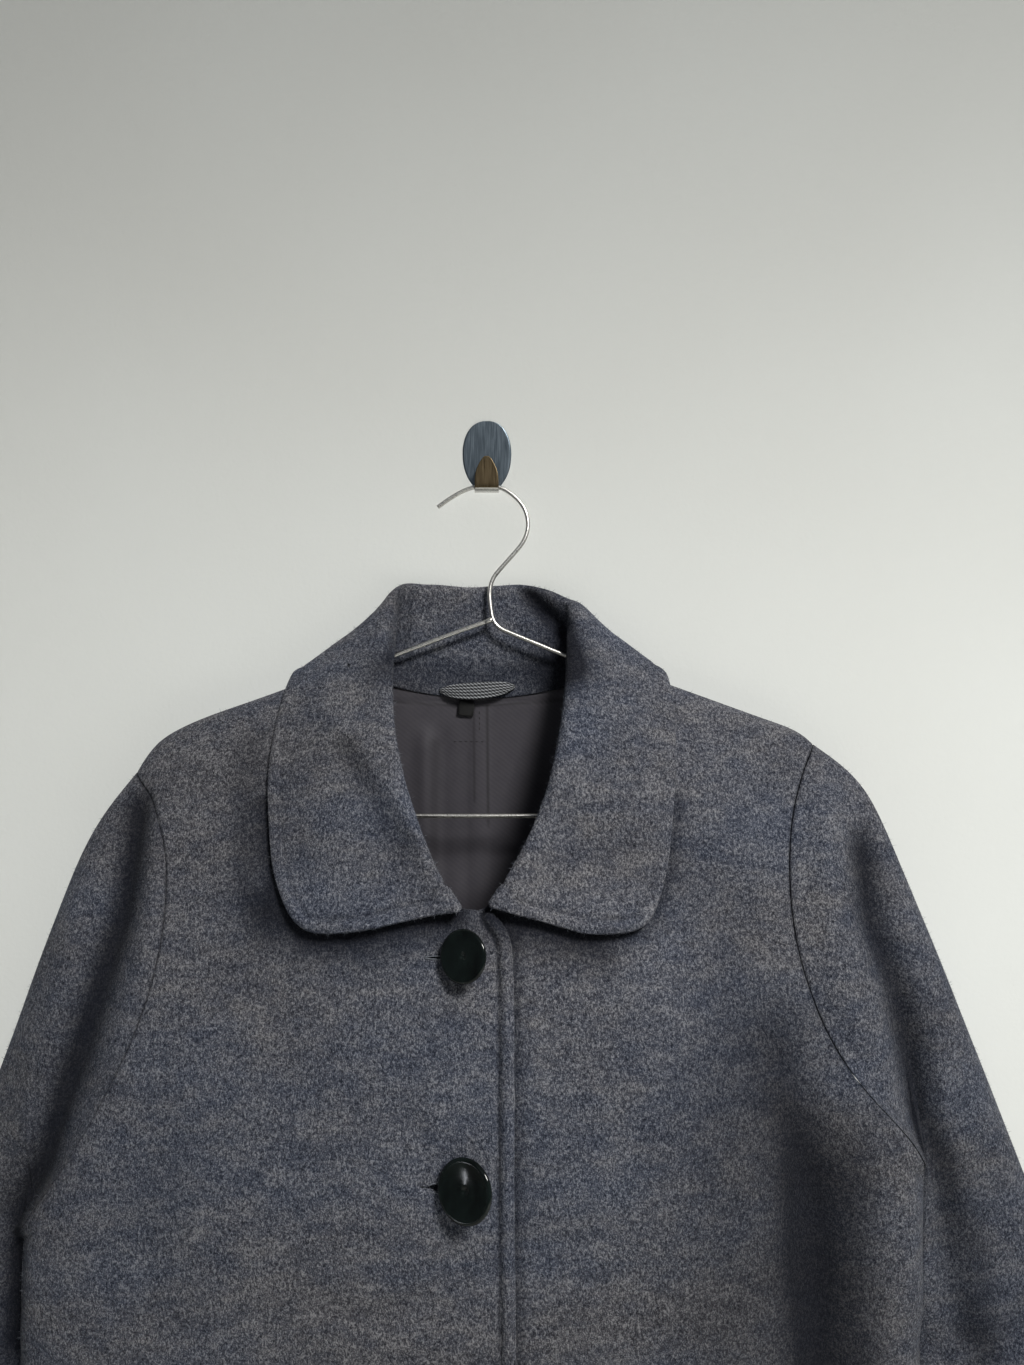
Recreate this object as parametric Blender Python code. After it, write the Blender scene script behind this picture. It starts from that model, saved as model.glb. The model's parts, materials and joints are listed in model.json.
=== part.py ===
# A buttoned wool overcoat on a wire hanger, hung from an oval steel wall hook.
# Frame: +X to the right seen from the room, +Y into the wall, +Z up, origin at the
# centre of the hook's back face on the wall. All tables are in millimetres.

import math

import bmesh
import bpy
import numpy as np
from mathutils import Matrix, Vector

MM = 0.001
SHARP_ANGLE = math.radians(50)

# Cloth walls and gaps
WOOL = 3.0
LINING = 1.0
SEAM_GAP = 0.3
LAP_RISE = 4.8          # how far the top front stands off the one under it
LAP_BLEND_X = (-112.0, -62.0)
LAP_EDGE_X = (18.0, 34.0)
FALL_CLEARANCE = 3.8    # collar's middle surface over the cloth that it lies on

# The body
COAT_CENTRE_X = -7.5
NECK_CENTRE_X = -4.0
NECK_HALF_WIDTH = 88.0
BACK_NECK_Z = -162.0
HEM_Z = -1050.0
SIDE_Y = -70.0          # the fold at the side seams
SIDE_RUN = 270.0        # height over which the shoulder line eases into the side fold
FRONT_DEPTH = 26.0      # crown of the fronts before the side fold
FRONT_RUN = 35.0        # height over which the fronts swell to their crown
FRONT_ROUNDNESS = 3.2   # how square the fronts are towards the side fold
RIDGE_ROUND = 6.0       # rounding of the shoulder over the wire
RIDGE_START = 2.0
WALL_SIDE_Y = -8.0      # the back panel's face towards the wall
BACK_RUN = 30.0
BACK_SIDE_ROUNDNESS = 8
# The sleeves draw the back panel's sides forward: how far, over which share of the half
# width, from how far above the underarm, and how much it eases again near the hem
TUCK = 0.93
TUCK_REACH = (0.52, 0.88)
TUCK_ABOVE = 118.0
TUCK_EASE = 0.55
TUCK_EASE_Z = (-730.0, -930.0)
TROUGH_TOP = (4.0, 30.0)        # troughs fade in over this height below the shoulder line
TROUGH_SIDE_HOLD = 1.4
UNDERARM_ROW = 13
COLLAR_END_ROW = 7
LEVEL_ROW = 6.0         # rows run parallel to the shoulder line at the top, level from here down
BACK_EASE = 1.6

# Shoulder line seen from the front: x, z
SHOULDER_LINE = (
    (-226, -213), (-218, -198), (-211, -191), (-197, -183), (-177, -175), (-148, -165),
    (-92, -144), (-60, -131), (-4, -109), (54, -132), (84, -143), (141, -163.5),
    (175, -176), (198, -184), (206, -188), (213, -195),
)

# The wearer's right front (left in the view), a row for each level from the shoulder seam
# down: inner edge x, z (neckline, then front edge), outer edge x, z (armhole, then side)
FRONT_RIGHT_ROWS = (
    (-92, -144, -226, -213),
    (-91, -162, -215, -224),
    (-86, -182, -204, -240),
    (-77, -204, -197, -262),
    (-65, -227, -195, -287),
    (-51, -249, -196, -314),
    (-35, -270, -201, -342),
    (-20, -288, -210, -369),
    (-4, -290.5, -222, -394),
    (8, -293.5, -236, -420),
    (15, -303, -252, -446),
    (17.5, -322, -268, -468),
    (18, -352, -280, -485),
    (18, -400, -285, -500),
    (18, -470, -286, -530),
    (19, -560, -286, -585),
    (18, -700, -289, -705),
    (17, -860, -294, -860),
    (16, HEM_Z, -300, HEM_Z),
)

# The wearer's left front, which passes under the other one
FRONT_LEFT_ROWS = (
    (84, -143, 213, -195),
    (83, -160, 203, -210),
    (78, -180, 195, -230),
    (68, -203, 190, -252),
    (56, -226, 188, -275),
    (41, -248, 188, -298),
    (24, -270, 191, -320),
    (7, -288, 198, -345),
    (-14, -295, 208, -369),
    (-31, -302, 223, -394),
    (-40, -316, 242, -414),
    (-42, -342, 257, -430),
    (-42, -378, 266, -445),
    (-42, -418, 270, -458),
    (-42, -480, 269, -500),
    (-42, -560, 267, -570),
    (-42, -700, 271, -702),
    (-42, -860, 277, -860),
    (-42, HEM_Z, 284, HEM_Z),
)

# Height of the back panel's middle at each of the same levels
BACK_MIDDLE_Z = (
    BACK_NECK_Z, -172, -187, -207, -229, -251, -274, -297, -320, -345, -372, -400, -428,
    -455, -500, -570, -702, -860, HEM_Z,
)

# Levels that get a row of points: closer over the shoulder ridge, and down the long skirt
ROW_STEPS = (
    (0.0, 0.15, 0.4) + tuple(float(row) for row in range(1, 15))
    + (14.5, 15.0, 15.4, 15.8, 16.2, 16.6, 17.0, 17.3, 17.6, 17.85, 18.0)
)
FRONT_COLUMNS = (0.0, 0.03, 0.079, 0.178, 0.29, 0.41, 0.53, 0.64, 0.74, 0.83, 0.905, 0.96, 1.0)
HALF_BACK_COLUMNS = (0.0, 0.14, 0.27, 0.4, 0.53, 0.65, 0.76, 0.85, 0.92, 0.97, 1.0)
NECK_COLUMN = 0.4
FLAT_COLUMNS = 0.18     # share of a front in which the rows stay level, for the buttonholes

# Sleeves, a row for each ring: the outer fold x, z, the inner fold x, z,
# the depth of each fold and half the thickness between front and back
SLEEVE_LEFT_RINGS = (
    (243, -220, 278, -463, -41, -56.5, 34),
    (265, -270, 276.5, -483, -43, -47, 31),
    (289, -330, 266, -510, -43, -43, 30),
    (313, -390, 256, -545, -43, -35, 28),
    (337, -450, 243, -580, -43, -31, 26),
    (361, -512, 239, -615, -43, -30, 26),
    (384, -577, 249, -657, -43, -32, 27),
    (406, -645, 266, -706, -43, -35, 28),
    (424, -708, 286, -758, -43, -39, 28),
    (438, -765, 303, -812, -43, -41, 27),
)
SLEEVE_RIGHT_RINGS = (
    (-243, -236, -299.5, -509, -41, -54.5, 34),
    (-260, -268, -297, -529, -43, -45, 31),
    (-281, -324, -281, -556, -43, -43, 30),
    (-303, -385, -270, -584, -43, -35, 28),
    (-327, -447, -258, -612, -43, -31, 26),
    (-351, -511, -252, -642, -43, -30, 26),
    (-375, -578, -260, -680, -43, -32, 27),
    (-398, -648, -274, -724, -43, -35, 28),
    (-417, -714, -290, -773, -43, -39, 28),
    (-433, -775, -304, -823, -43, -41, 27),
)
SLEEVE_ROUNDNESS = 0.85
FOLD_SHARES = (0.66, 0.95)      # part of the half ring, from the outer fold, that FOLD_FULLNESS thins
SLEEVE_STEPS = (0.5, 1.0, 1.5, 2.0, 2.5, 3.0, 3.5, 4.0, 5.0, 6.0, 7.0, 8.0, 9.0, 10.0)
SLEEVE_BLEND = ((0.0, 0.0), (1.0, 0.4), (2.0, 0.8), (3.0, 1.0), (10.0, 1.0))
# The fold under the arm is sharp at the armhole and grows full further down: step, fullness
FOLD_FULLNESS = ((0.0, 0.4), (1.0, 0.5), (2.0, 0.65), (4.0, 1.0), (10.0, 1.0))

# Soft troughs in the cloth, seen from the front: depth, width, then x, z along the trough
FRONT_TROUGHS = (
    (9.0, 13.0, ((233, -205), (240, -245), (241, -275), (246, -303), (252, -332),
                 (257, -356), (262, -378), (266, -398), (273, -420))),
    (8.0, 15.0, ((-231, -226), (-230, -262), (-229, -294), (-231, -333), (-240, -381),
                 (-251, -420), (-260, -446), (-271, -466))),
    (5.0, 20.0, ((310, -470), (322, -520), (338, -575))),
    (5.0, 20.0, ((-300, -500), (-318, -560), (-330, -610))),
    (11.0, 30.0, ((190, -385), (186, -440), (187, -520), (190, -640), (196, -820), (204, -1050))),
    (5.0, 26.0, ((100, -600), (106, -720), (118, -860), (124, -1050))),
    (4.5, 28.0, ((-130, -600), (-140, -760), (-160, -900), (-168, -1050))),
)

# Collar sections: level of the neckline, fold x, y, z, outer edge x, z, roll radius.
# The first table runs up the wearer's left front, the second up the right front.
COLLAR_LEFT_SECTIONS = (
    (7, 5, -94.5, -287, 60, -303.5, 2.4),
    (6, 19, -87, -265, 95, -301, 3.2),
    (5, 32, -77.5, -240, 110, -274, 4.0),
    (4, 41.5, -70, -214, 115, -246, 4.4),
    (3, 48, -60.5, -187, 118.5, -219, 4.6),
    (2, 52, -49.5, -159, 120.5, -195, 4.6),
    (1, 54, -38, -132, 120.5, -174, 4.6),
    (0, 56.5, -25, -106.5, 118, -148.5, 4.4),
)
COLLAR_RIGHT_SECTIONS = (
    (7, -14, -99, -288, -70, -300.5, 2.4),
    (6, -29, -91, -266, -106, -303, 3.2),
    (5, -40, -80, -241, -126, -277, 4.0),
    (4, -50, -71, -214, -132.5, -248, 4.4),
    (3, -57, -60.5, -187, -135.5, -220, 4.6),
    (2, -60.5, -49.5, -160, -135, -197, 4.6),
    (1, -61, -38, -132, -131.5, -175, 4.6),
    (0, -60.5, -25, -105, -127, -150, 4.4),
)
# Round the back of the neck: neck x, fold x, y, z, outer edge x, y, z, roll radius
COLLAR_BACK_SECTIONS = (
    (73, 55, -15, -98, 104, -11.5, -160, 3.8),
    (54, 41, -9, -92.5, 76, -5, -173, 3.4),
    (26, 20, -6.5, -91, 36, -3, -178, 3.3),
    (-4, -4, -6, -90.5, -4, -2.9, -179, 3.3),
    (-34, -28, -6.5, -91, -44, -3, -178, 3.3),
    (-62, -47, -9, -92.5, -85, -5, -173, 3.4),
    (-81, -59, -15, -97.5, -113, -11.5, -161, 3.8),
)
CORNER_PARTS = 3        # sections between two rows at the round corners
CORNER_ROWS = 3
SHOULDER_PARTS = 2      # and over the shoulder seams
STAND_SEGMENTS = 3
ROLL_SEGMENTS = 4
FALL_SEGMENTS = 5
FALL_FULLNESS = 0.8     # how far the fall rounds over before it lies flat
STAND_START = 2.5       # from the neckline's edge to the collar's own edge
STAND_INSET = 1.5
END_STAND_OFF = 2.4     # at the front ends the stand lies on the panel

# Lining, hang loop and label inside the back of the neck
LINING_COLUMNS = (0.0, 0.027, 0.04, 0.075, 0.16, 0.26, 0.37, 0.47)
LINING_STEPS = (0.0, 1.0, 2.0, 3.0, 4.0, 5.0, 6.5, 8.0, 10.0, 12.0, 13.5, 15.0, 16.0, 17.0, 18.0)
PLEAT_EDGE = 0.55       # share of the pleat's half width that stays flat
LINING_TOP_DROP = 3.5
LINING_RIDGE_DROP = 18.0
LINING_HEM_RISE = 20.0
LINING_GAP = 1.1
PLEAT_RISE = 1.6
PLEAT_HALF_WIDTH = 7.0
PLEAT_X = -5.0
LOOP_LEFT = (-31.0, -160.5)
LOOP_RIGHT = (19.0, -157.5)
LOOP_SAG = 1.5
LOOP_BAND = 11.0
LOOP_THICKNESS = 2.0
LOOP_SEGMENTS = 12
LOOP_ACROSS = (-1.0, -0.7, 0.0, 0.7, 1.0)
LOOP_BULGE = 0.6
LOOP_END = 0.45         # share of its width that the band keeps where its ends are sewn in
LOOP_STAND_OFF = 5.0    # how far the loop's middle bows off the lining
LABEL_CENTRE = (-13.5, -172.5)
LABEL_SIZE = (10.5, 9.5)
LABEL_TILT = math.radians(-8)
LABEL_THICKNESS = 0.5

# Buttons: centre x, z, how far the face turns about its upright axis, and size
BUTTONS = (
    (-10.8, -313.3, 30.0, 0.86),
    (-9.3, -444.5, 30.0, 1.0),
    (-9.3, -575.7, 24.0, 1.0),
    (-9.8, -706.9, 27.0, 1.0),
)
BUTTON_STAND_OFF = 8.6
SLIT_HALF_HEIGHT = 1.9
SLIT_COLUMN = 2         # the column of cells in FRONT_COLUMNS that a buttonhole opens
HALVINGS = 40
STALK_RADIUS = 0.9
STALK_GAP = 0.5
# Button profile from the back's stalk to the dished face: radius, height
BUTTON_PROFILE = (
    (0.9, 0.0), (11.0, 0.2), (17.4, 1.3), (18.6, 2.6), (18.3, 3.9), (16.9, 4.6),
    (13.5, 4.2), (7.0, 3.7), (2.2, 3.5), (1.2, 2.9),
)
BUTTON_SIDES = 18

# Wire hanger
WIRE_RADIUS = 1.5
WIRE_RESOLUTION = 2
WIRE_AT_HOOK = (-5.1, -22.0)     # y, z where the wire lies in the hook
WIRE_LEAN = 0.155                # the hanger's plane leans into the room below the hook
WIRE_UNDER_SHOULDER = 6.0
RIDGE_BEHIND_WIRE = 0.5
BAR_Z = -241.0
# Route, x and z: the crook from its tip, the shaft and both arms
CROOK_ROUTE = (
    (-33, -36.5), (-27, -32), (-21, -28), (-15, -24.8), (-9.6, -22.7), (-4, -22), (1.6, -21.9),
    (7.3, -22.1), (15.5, -26.4), (22, -32.4), (26.2, -39.2), (27.9, -47), (27.2, -54),
    (24.5, -60.8), (19.6, -67.2), (11.9, -76), (5.7, -83.3), (2.9, -89.5), (2.1, -97),
    (3, -106), (4.6, -113.6), (8.5, -118.6), (15, -121.8), (30.5, -128.2), (54, -138),
)
RIGHT_ARM_X = (84, 112, 141, 170, 190)
RIGHT_BEND = ((199.5, -193.5), (206, -199.5), (207.5, -208), (204, -220), (195, -231), (180, -239))
BAR_X = (160, 100, 40, -20, -80, -140, -160)
LEFT_BEND = ((-178, -239), (-193, -231), (-203, -219), (-207, -206), (-205, -196.5), (-198, -190))
LEFT_ARM_X = (-185, -160, -135, -112, -92)
NECK_JOIN_ROUTE = ((-60.5, -137.2), (-44, -130.9), (-20, -121.8), (0.6, -114.6))
ROUTE_STEPS = 3         # most points between two of a route's own
BEND_SPACING = 4.0
STRAIGHT_LENGTH = 24.0

# Wall hook: a strip of steel, its side view as arc length stations
STEEL = 1.0
PAD_THICKNESS = 0.8
HOOK_GAP = 0.3
PLATE_TOP_Z = 23.2
BEND_CENTRE_Z = -21.9
BEND_RADIUS = 3.5       # of the strip's middle
TAB_TIP_Z = -0.6
BEND_STEPS = 8
# Half the strip's width at each height of the plate and of the tab: z, half width
PLATE_HALF_WIDTHS = (
    (23.2, 2.2), (22.3, 6.0), (20.4, 9.2), (17.0, 12.4), (12.0, 15.0), (6.0, 16.4), (0.0, 16.7),
    (-6.0, 16.1), (-12.0, 14.2), (-17.0, 11.4), (-21.9, 8.5),
)
TAB_HALF_WIDTHS = (
    (-21.9, 8.1), (-17.0, 8.0), (-13.0, 7.5), (-9.0, 6.2), (-5.5, 4.4), (-2.6, 2.4), (-0.6, 0.7),
)
HOOK_COLUMNS = 6
PAD_RADII = (14.6, 20.0)
PAD_CENTRE_Z = 2.0
PAD_SIDES = 40


def smooth(low, high, value):
    share = min(max((value - low) / (high - low), 0.0), 1.0)
    return share * share * (3.0 - 2.0 * share)


def along(table, step):
    """A table's row at a fractional step, on a smooth curve through its rows."""
    last = len(table) - 1
    index = min(int(step), last - 1)
    share = step - index
    before, here = table[max(index - 1, 0)], table[index]
    there, after = table[index + 1], table[min(index + 2, last)]
    row = []
    for p0, p1, p2, p3 in zip(before, here, there, after):
        row.append(0.5 * (2.0 * p1 + (p2 - p0) * share
                          + (2.0 * p0 - 5.0 * p1 + 4.0 * p2 - p3) * share ** 2
                          + (3.0 * p1 - p0 - 3.0 * p2 + p3) * share ** 3))
    return tuple(row)


def between(table, key):
    """Straight interpolation in a two-column table whose keys rise or fall."""
    rows = sorted(table)
    return float(np.interp(key, [row[0] for row in rows], [row[1] for row in rows]))


def shoulder_z(x):
    return between(SHOULDER_LINE, x)


def wire_y(z):
    return WIRE_AT_HOOK[0] + (z - WIRE_AT_HOOK[1]) * WIRE_LEAN


def front_rows(side):
    return FRONT_LEFT_ROWS if side > 0 else FRONT_RIGHT_ROWS


def side_x(z, side):
    """The side fold at a height; above the underarm it runs on straight up."""
    rows = front_rows(side)[UNDERARM_ROW:]
    return between([(row[3], row[2]) for row in rows], z)


def reach(x, z):
    """0 at the coat's centre line, 1 at its side fold."""
    side = 1 if x > COAT_CENTRE_X else -1
    return min(abs(x - COAT_CENTRE_X) / abs(side_x(z, side) - COAT_CENTRE_X), 1.0)


def drop(x, z):
    return max(shoulder_z(x) - z, 0.0)


def ridge_y(x):
    return wire_y(shoulder_z(x) - WIRE_UNDER_SHOULDER) + RIDGE_BEHIND_WIRE


def middle_y(x, z):
    """The plane between front and back, from the hanger at the top to the side seams."""
    top = ridge_y(x)
    return top + (SIDE_Y - top) * smooth(0.0, SIDE_RUN, drop(x, z))


def ridge_round(depth):
    share = min(depth / RIDGE_ROUND, 1.0)
    return RIDGE_ROUND * math.sqrt(1.0 - (1.0 - share) ** 2)


def trough(x, z):
    total = 0.0
    point = Vector((x, z))
    for depth, width, line in FRONT_TROUGHS:
        nearest = None
        for start, end in zip(line, line[1:]):
            a, b = Vector(start), Vector(end)
            span = b - a
            share = min(max((point - a).dot(span) / span.length_squared, 0.0), 1.0)
            distance = (point - a - span * share).length
            nearest = distance if nearest is None else min(nearest, distance)
        total += depth * math.exp(-(nearest / width) ** 2)
    return total


def front_y(x, z):
    """Outer face of the fronts."""
    depth = drop(x, z)
    swell = 1.0 - math.exp(-max(depth - RIDGE_START, 0.0) / FRONT_RUN)
    crown = ridge_round(depth) + FRONT_DEPTH * swell
    fold = (1.0 - reach(x, z) ** FRONT_ROUNDNESS) ** (1.0 / FRONT_ROUNDNESS)
    dent = trough(x, z) * min(fold * TROUGH_SIDE_HOLD, 1.0) * smooth(*TROUGH_TOP, depth)
    return middle_y(x, z) - crown * fold + dent


def lap(x):
    """Rise of the top front over the one beneath it."""
    return LAP_RISE * smooth(*LAP_BLEND_X, x)


def top_y(x, z):
    """Outermost cloth that the collar's fall lies on."""
    return front_y(x, z) - lap(x) * (1.0 - smooth(*LAP_EDGE_X, x))


def back_y(x, z):
    """Face of the back panel towards the wall, with the sides drawn forward by the sleeves."""
    depth = drop(x, z)
    top = ridge_y(x)
    flat = top + ridge_round(depth)
    swell = 1.0 - math.exp(-max(depth - RIDGE_START, 0.0) / BACK_RUN)
    flat += max(WALL_SIDE_Y - flat, 0.0) * swell
    share = reach(x, z)
    side = 1 if x > COAT_CENTRE_X else -1
    underarm = front_rows(side)[UNDERARM_ROW][3]
    tucked = TUCK * smooth(*TUCK_REACH, share) * smooth(underarm + TUCK_ABOVE, underarm, z)
    tucked *= 1.0 - TUCK_EASE * smooth(*TUCK_EASE_Z, z)
    forward = 1.0 - (1.0 - tucked) * math.sqrt(1.0 - share ** BACK_SIDE_ROUNDNESS)
    return flat + (middle_y(x, z) - flat) * forward


def grid_normals(grid, closed=False):
    """Unit normals of a grid of points, rows down and columns across."""
    rows, columns = len(grid), len(grid[0])
    normals = []
    for r in range(rows):
        line = []
        for c in range(columns):
            up, down = grid[max(r - 1, 0)][c], grid[min(r + 1, rows - 1)][c]
            if closed:
                left, right = grid[r][c - 1], grid[r][(c + 1) % columns]
            else:
                left, right = grid[r][max(c - 1, 0)], grid[r][min(c + 1, columns - 1)]
            line.append((down - up).cross(right - left).normalized())
        normals.append(line)
    return normals


def material(name, colour, roughness, metallic=0.0):
    made = bpy.data.materials.new(name)
    made.use_nodes = True
    shader = made.node_tree.nodes["Principled BSDF"]
    shader.inputs["Base Color"].default_value = (*colour, 1.0)
    shader.inputs["Roughness"].default_value = roughness
    shader.inputs["Metallic"].default_value = metallic
    made.diffuse_color = (*colour, 1.0)
    return made


def add_object(name, bm, finish):
    bmesh.ops.recalc_face_normals(bm, faces=bm.faces)
    mesh = bpy.data.meshes.new(name)
    bm.to_mesh(mesh)
    bm.free()
    mesh.materials.append(finish)
    mesh.shade_smooth()
    mesh.set_sharp_from_angle(angle=SHARP_ANGLE)
    made = bpy.data.objects.new(name, mesh)
    bpy.context.scene.collection.objects.link(made)
    return made


def add_wall(name, outer, inner, finish, closed=False, holes=()):
    """A closed wall between two grids; holes are cells (row, column) left open through it."""
    rows, columns = len(outer), len(outer[0])
    cells_across = columns if closed else columns - 1
    bm = bmesh.new()
    out = [[bm.verts.new(point * MM) for point in row] for row in outer]
    back = [[bm.verts.new(point * MM) for point in row] for row in inner]
    present = {(r, c) for r in range(rows - 1) for c in range(cells_across)} - set(holes)
    for r, c in present:
        n = (c + 1) % columns
        corners = [(r, c), (r + 1, c), (r + 1, n), (r, n)]
        bm.faces.new([out[i][j] for i, j in corners])
        bm.faces.new([back[i][j] for i, j in reversed(corners)])
        left = (r, (c - 1) % cells_across if closed else c - 1)
        right = (r, (c + 1) % cells_across if closed else c + 1)
        for edge, neighbour in zip(range(4), (left, (r + 1, c), right, (r - 1, c))):
            if neighbour not in present:
                a, b = corners[edge], corners[(edge + 1) % 4]
                bm.faces.new([out[b[0]][b[1]], out[a[0]][a[1]], back[a[0]][a[1]], back[b[0]][b[1]]])
    return add_object(name, bm, finish)


def offset_grid(grid, normals, distance):
    return [[point - normal * distance for point, normal in zip(row, line)]
            for row, line in zip(grid, normals)]


def level(normal):
    """A normal turned into the seam's own plane, so that both walls meet face to face."""
    return Vector((normal.x, 0.0, normal.z)).normalized()


def front_points(side, step):
    """One row of a front from its inner edge to the armhole or side."""
    inner_x, inner_z, outer_x, outer_z = along(front_rows(side), step)
    inner_drop = shoulder_z(inner_x) - inner_z
    outer_drop = shoulder_z(outer_x) - outer_z
    straight = smooth(0.0, LEVEL_ROW, step)
    row = []
    for share in FRONT_COLUMNS:
        ease = smooth(FLAT_COLUMNS * straight, 1.0, share)
        x = inner_x + (outer_x - inner_x) * share
        parallel = shoulder_z(x) - (inner_drop + (outer_drop - inner_drop) * ease)
        z = (1.0 - straight) * parallel + straight * (inner_z + (outer_z - inner_z) * ease)
        if step == 0.0:
            z = shoulder_z(x)
        rise = lap(x) if side < 0 else 0.0
        row.append(Vector((x, front_y(x, z) - rise - SEAM_GAP / 2, z)))
    return row


def front_walls(side):
    """Outer and inner points of a front, and the outer normals."""
    grid = [front_points(side, step) for step in ROW_STEPS]
    normals = grid_normals(grid)
    if normals[5][5].y > 0.0:
        normals = [[-normal for normal in line] for line in normals]
    normals[0] = [level(normal) for normal in normals[0]]
    for row, step in enumerate(ROW_STEPS):
        if step >= UNDERARM_ROW:
            normals[row][-1] = level(normals[row][-1])
    return grid, offset_grid(grid, normals, WOOL), normals


def neckline_z(x):
    return BACK_NECK_Z + (between(SHOULDER_LINE, NECK_CENTRE_X + NECK_HALF_WIDTH) - BACK_NECK_Z) * (
        (x - NECK_CENTRE_X) / NECK_HALF_WIDTH) ** 2


def back_points(step):
    row = []
    middle_z = along([(z,) for z in BACK_MIDDLE_Z], step)[0]
    straight = smooth(0.0, LEVEL_ROW, step)
    columns = [(-1, share) for share in reversed(HALF_BACK_COLUMNS[1:])]
    columns += [(1, share) for share in HALF_BACK_COLUMNS]
    for side, share in columns:
        _, _, outer_x, outer_z = along(front_rows(side), step)
        width = abs(outer_x - NECK_CENTRE_X)
        neck = NECK_HALF_WIDTH + (NECK_COLUMN * width - NECK_HALF_WIDTH) * straight
        if share <= NECK_COLUMN:
            reach_out = neck * share / NECK_COLUMN
        else:
            reach_out = neck + (width - neck) * (share - NECK_COLUMN) / (1.0 - NECK_COLUMN)
        x = NECK_CENTRE_X + side * reach_out
        top = shoulder_z(x) if share >= NECK_COLUMN else neckline_z(x)
        ease = share ** BACK_EASE
        middle_drop = BACK_NECK_Z - middle_z
        outer_drop = shoulder_z(outer_x) - outer_z
        parallel = top - (middle_drop + (outer_drop - middle_drop) * ease)
        z = (1.0 - straight) * parallel + straight * (middle_z + (outer_z - middle_z) * ease)
        if step == 0.0:
            z = top
        row.append(Vector((x, back_y(x, z) + SEAM_GAP / 2, z)))
    return row


def back_walls():
    grid = [back_points(step) for step in ROW_STEPS]
    normals = grid_normals(grid)
    if normals[5][10].y < 0.0:
        normals = [[-normal for normal in line] for line in normals]
    half = len(HALF_BACK_COLUMNS) - 1
    for column in range(len(grid[0])):
        if HALF_BACK_COLUMNS[abs(column - half)] >= NECK_COLUMN:
            normals[0][column] = level(normals[0][column])
    for row, step in enumerate(ROW_STEPS):
        if step >= UNDERARM_ROW:
            for column in (0, -1):
                normals[row][column] = level(normals[row][column])
    return grid, offset_grid(grid, normals, WOOL), normals


def step_at(height):
    """The step at which the top front's edge is at a height."""
    low, high = 0.0, float(len(FRONT_RIGHT_ROWS) - 1)
    for _ in range(HALVINGS):
        middle = (low + high) / 2
        if along(FRONT_RIGHT_ROWS, middle)[1] > height:
            low = middle
        else:
            high = middle
    return low


def with_slits(outer, normals):
    """The top front's grids with a pair of rows at each button, and the cells of the slits."""
    outer, normals, steps = list(outer), list(normals), list(ROW_STEPS)
    holes = []
    for _, button_z, _, _ in BUTTONS:
        for height in (button_z + SLIT_HALF_HEIGHT, button_z - SLIT_HALF_HEIGHT):
            step = step_at(height)
            row = next(i for i in range(len(steps) - 1) if steps[i + 1] > step)
            share = (step - steps[row]) / (steps[row + 1] - steps[row])
            points = front_points(-1, step)
            points[-1] = outer[row][-1].lerp(outer[row + 1][-1], share)
            turned = [a.lerp(b, share).normalized() for a, b in zip(normals[row], normals[row + 1])]
            outer.insert(row + 1, points)
            normals.insert(row + 1, turned)
            steps.insert(row + 1, step)
        holes.append((row, SLIT_COLUMN))
    return outer, offset_grid(outer, normals, WOOL), holes


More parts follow.
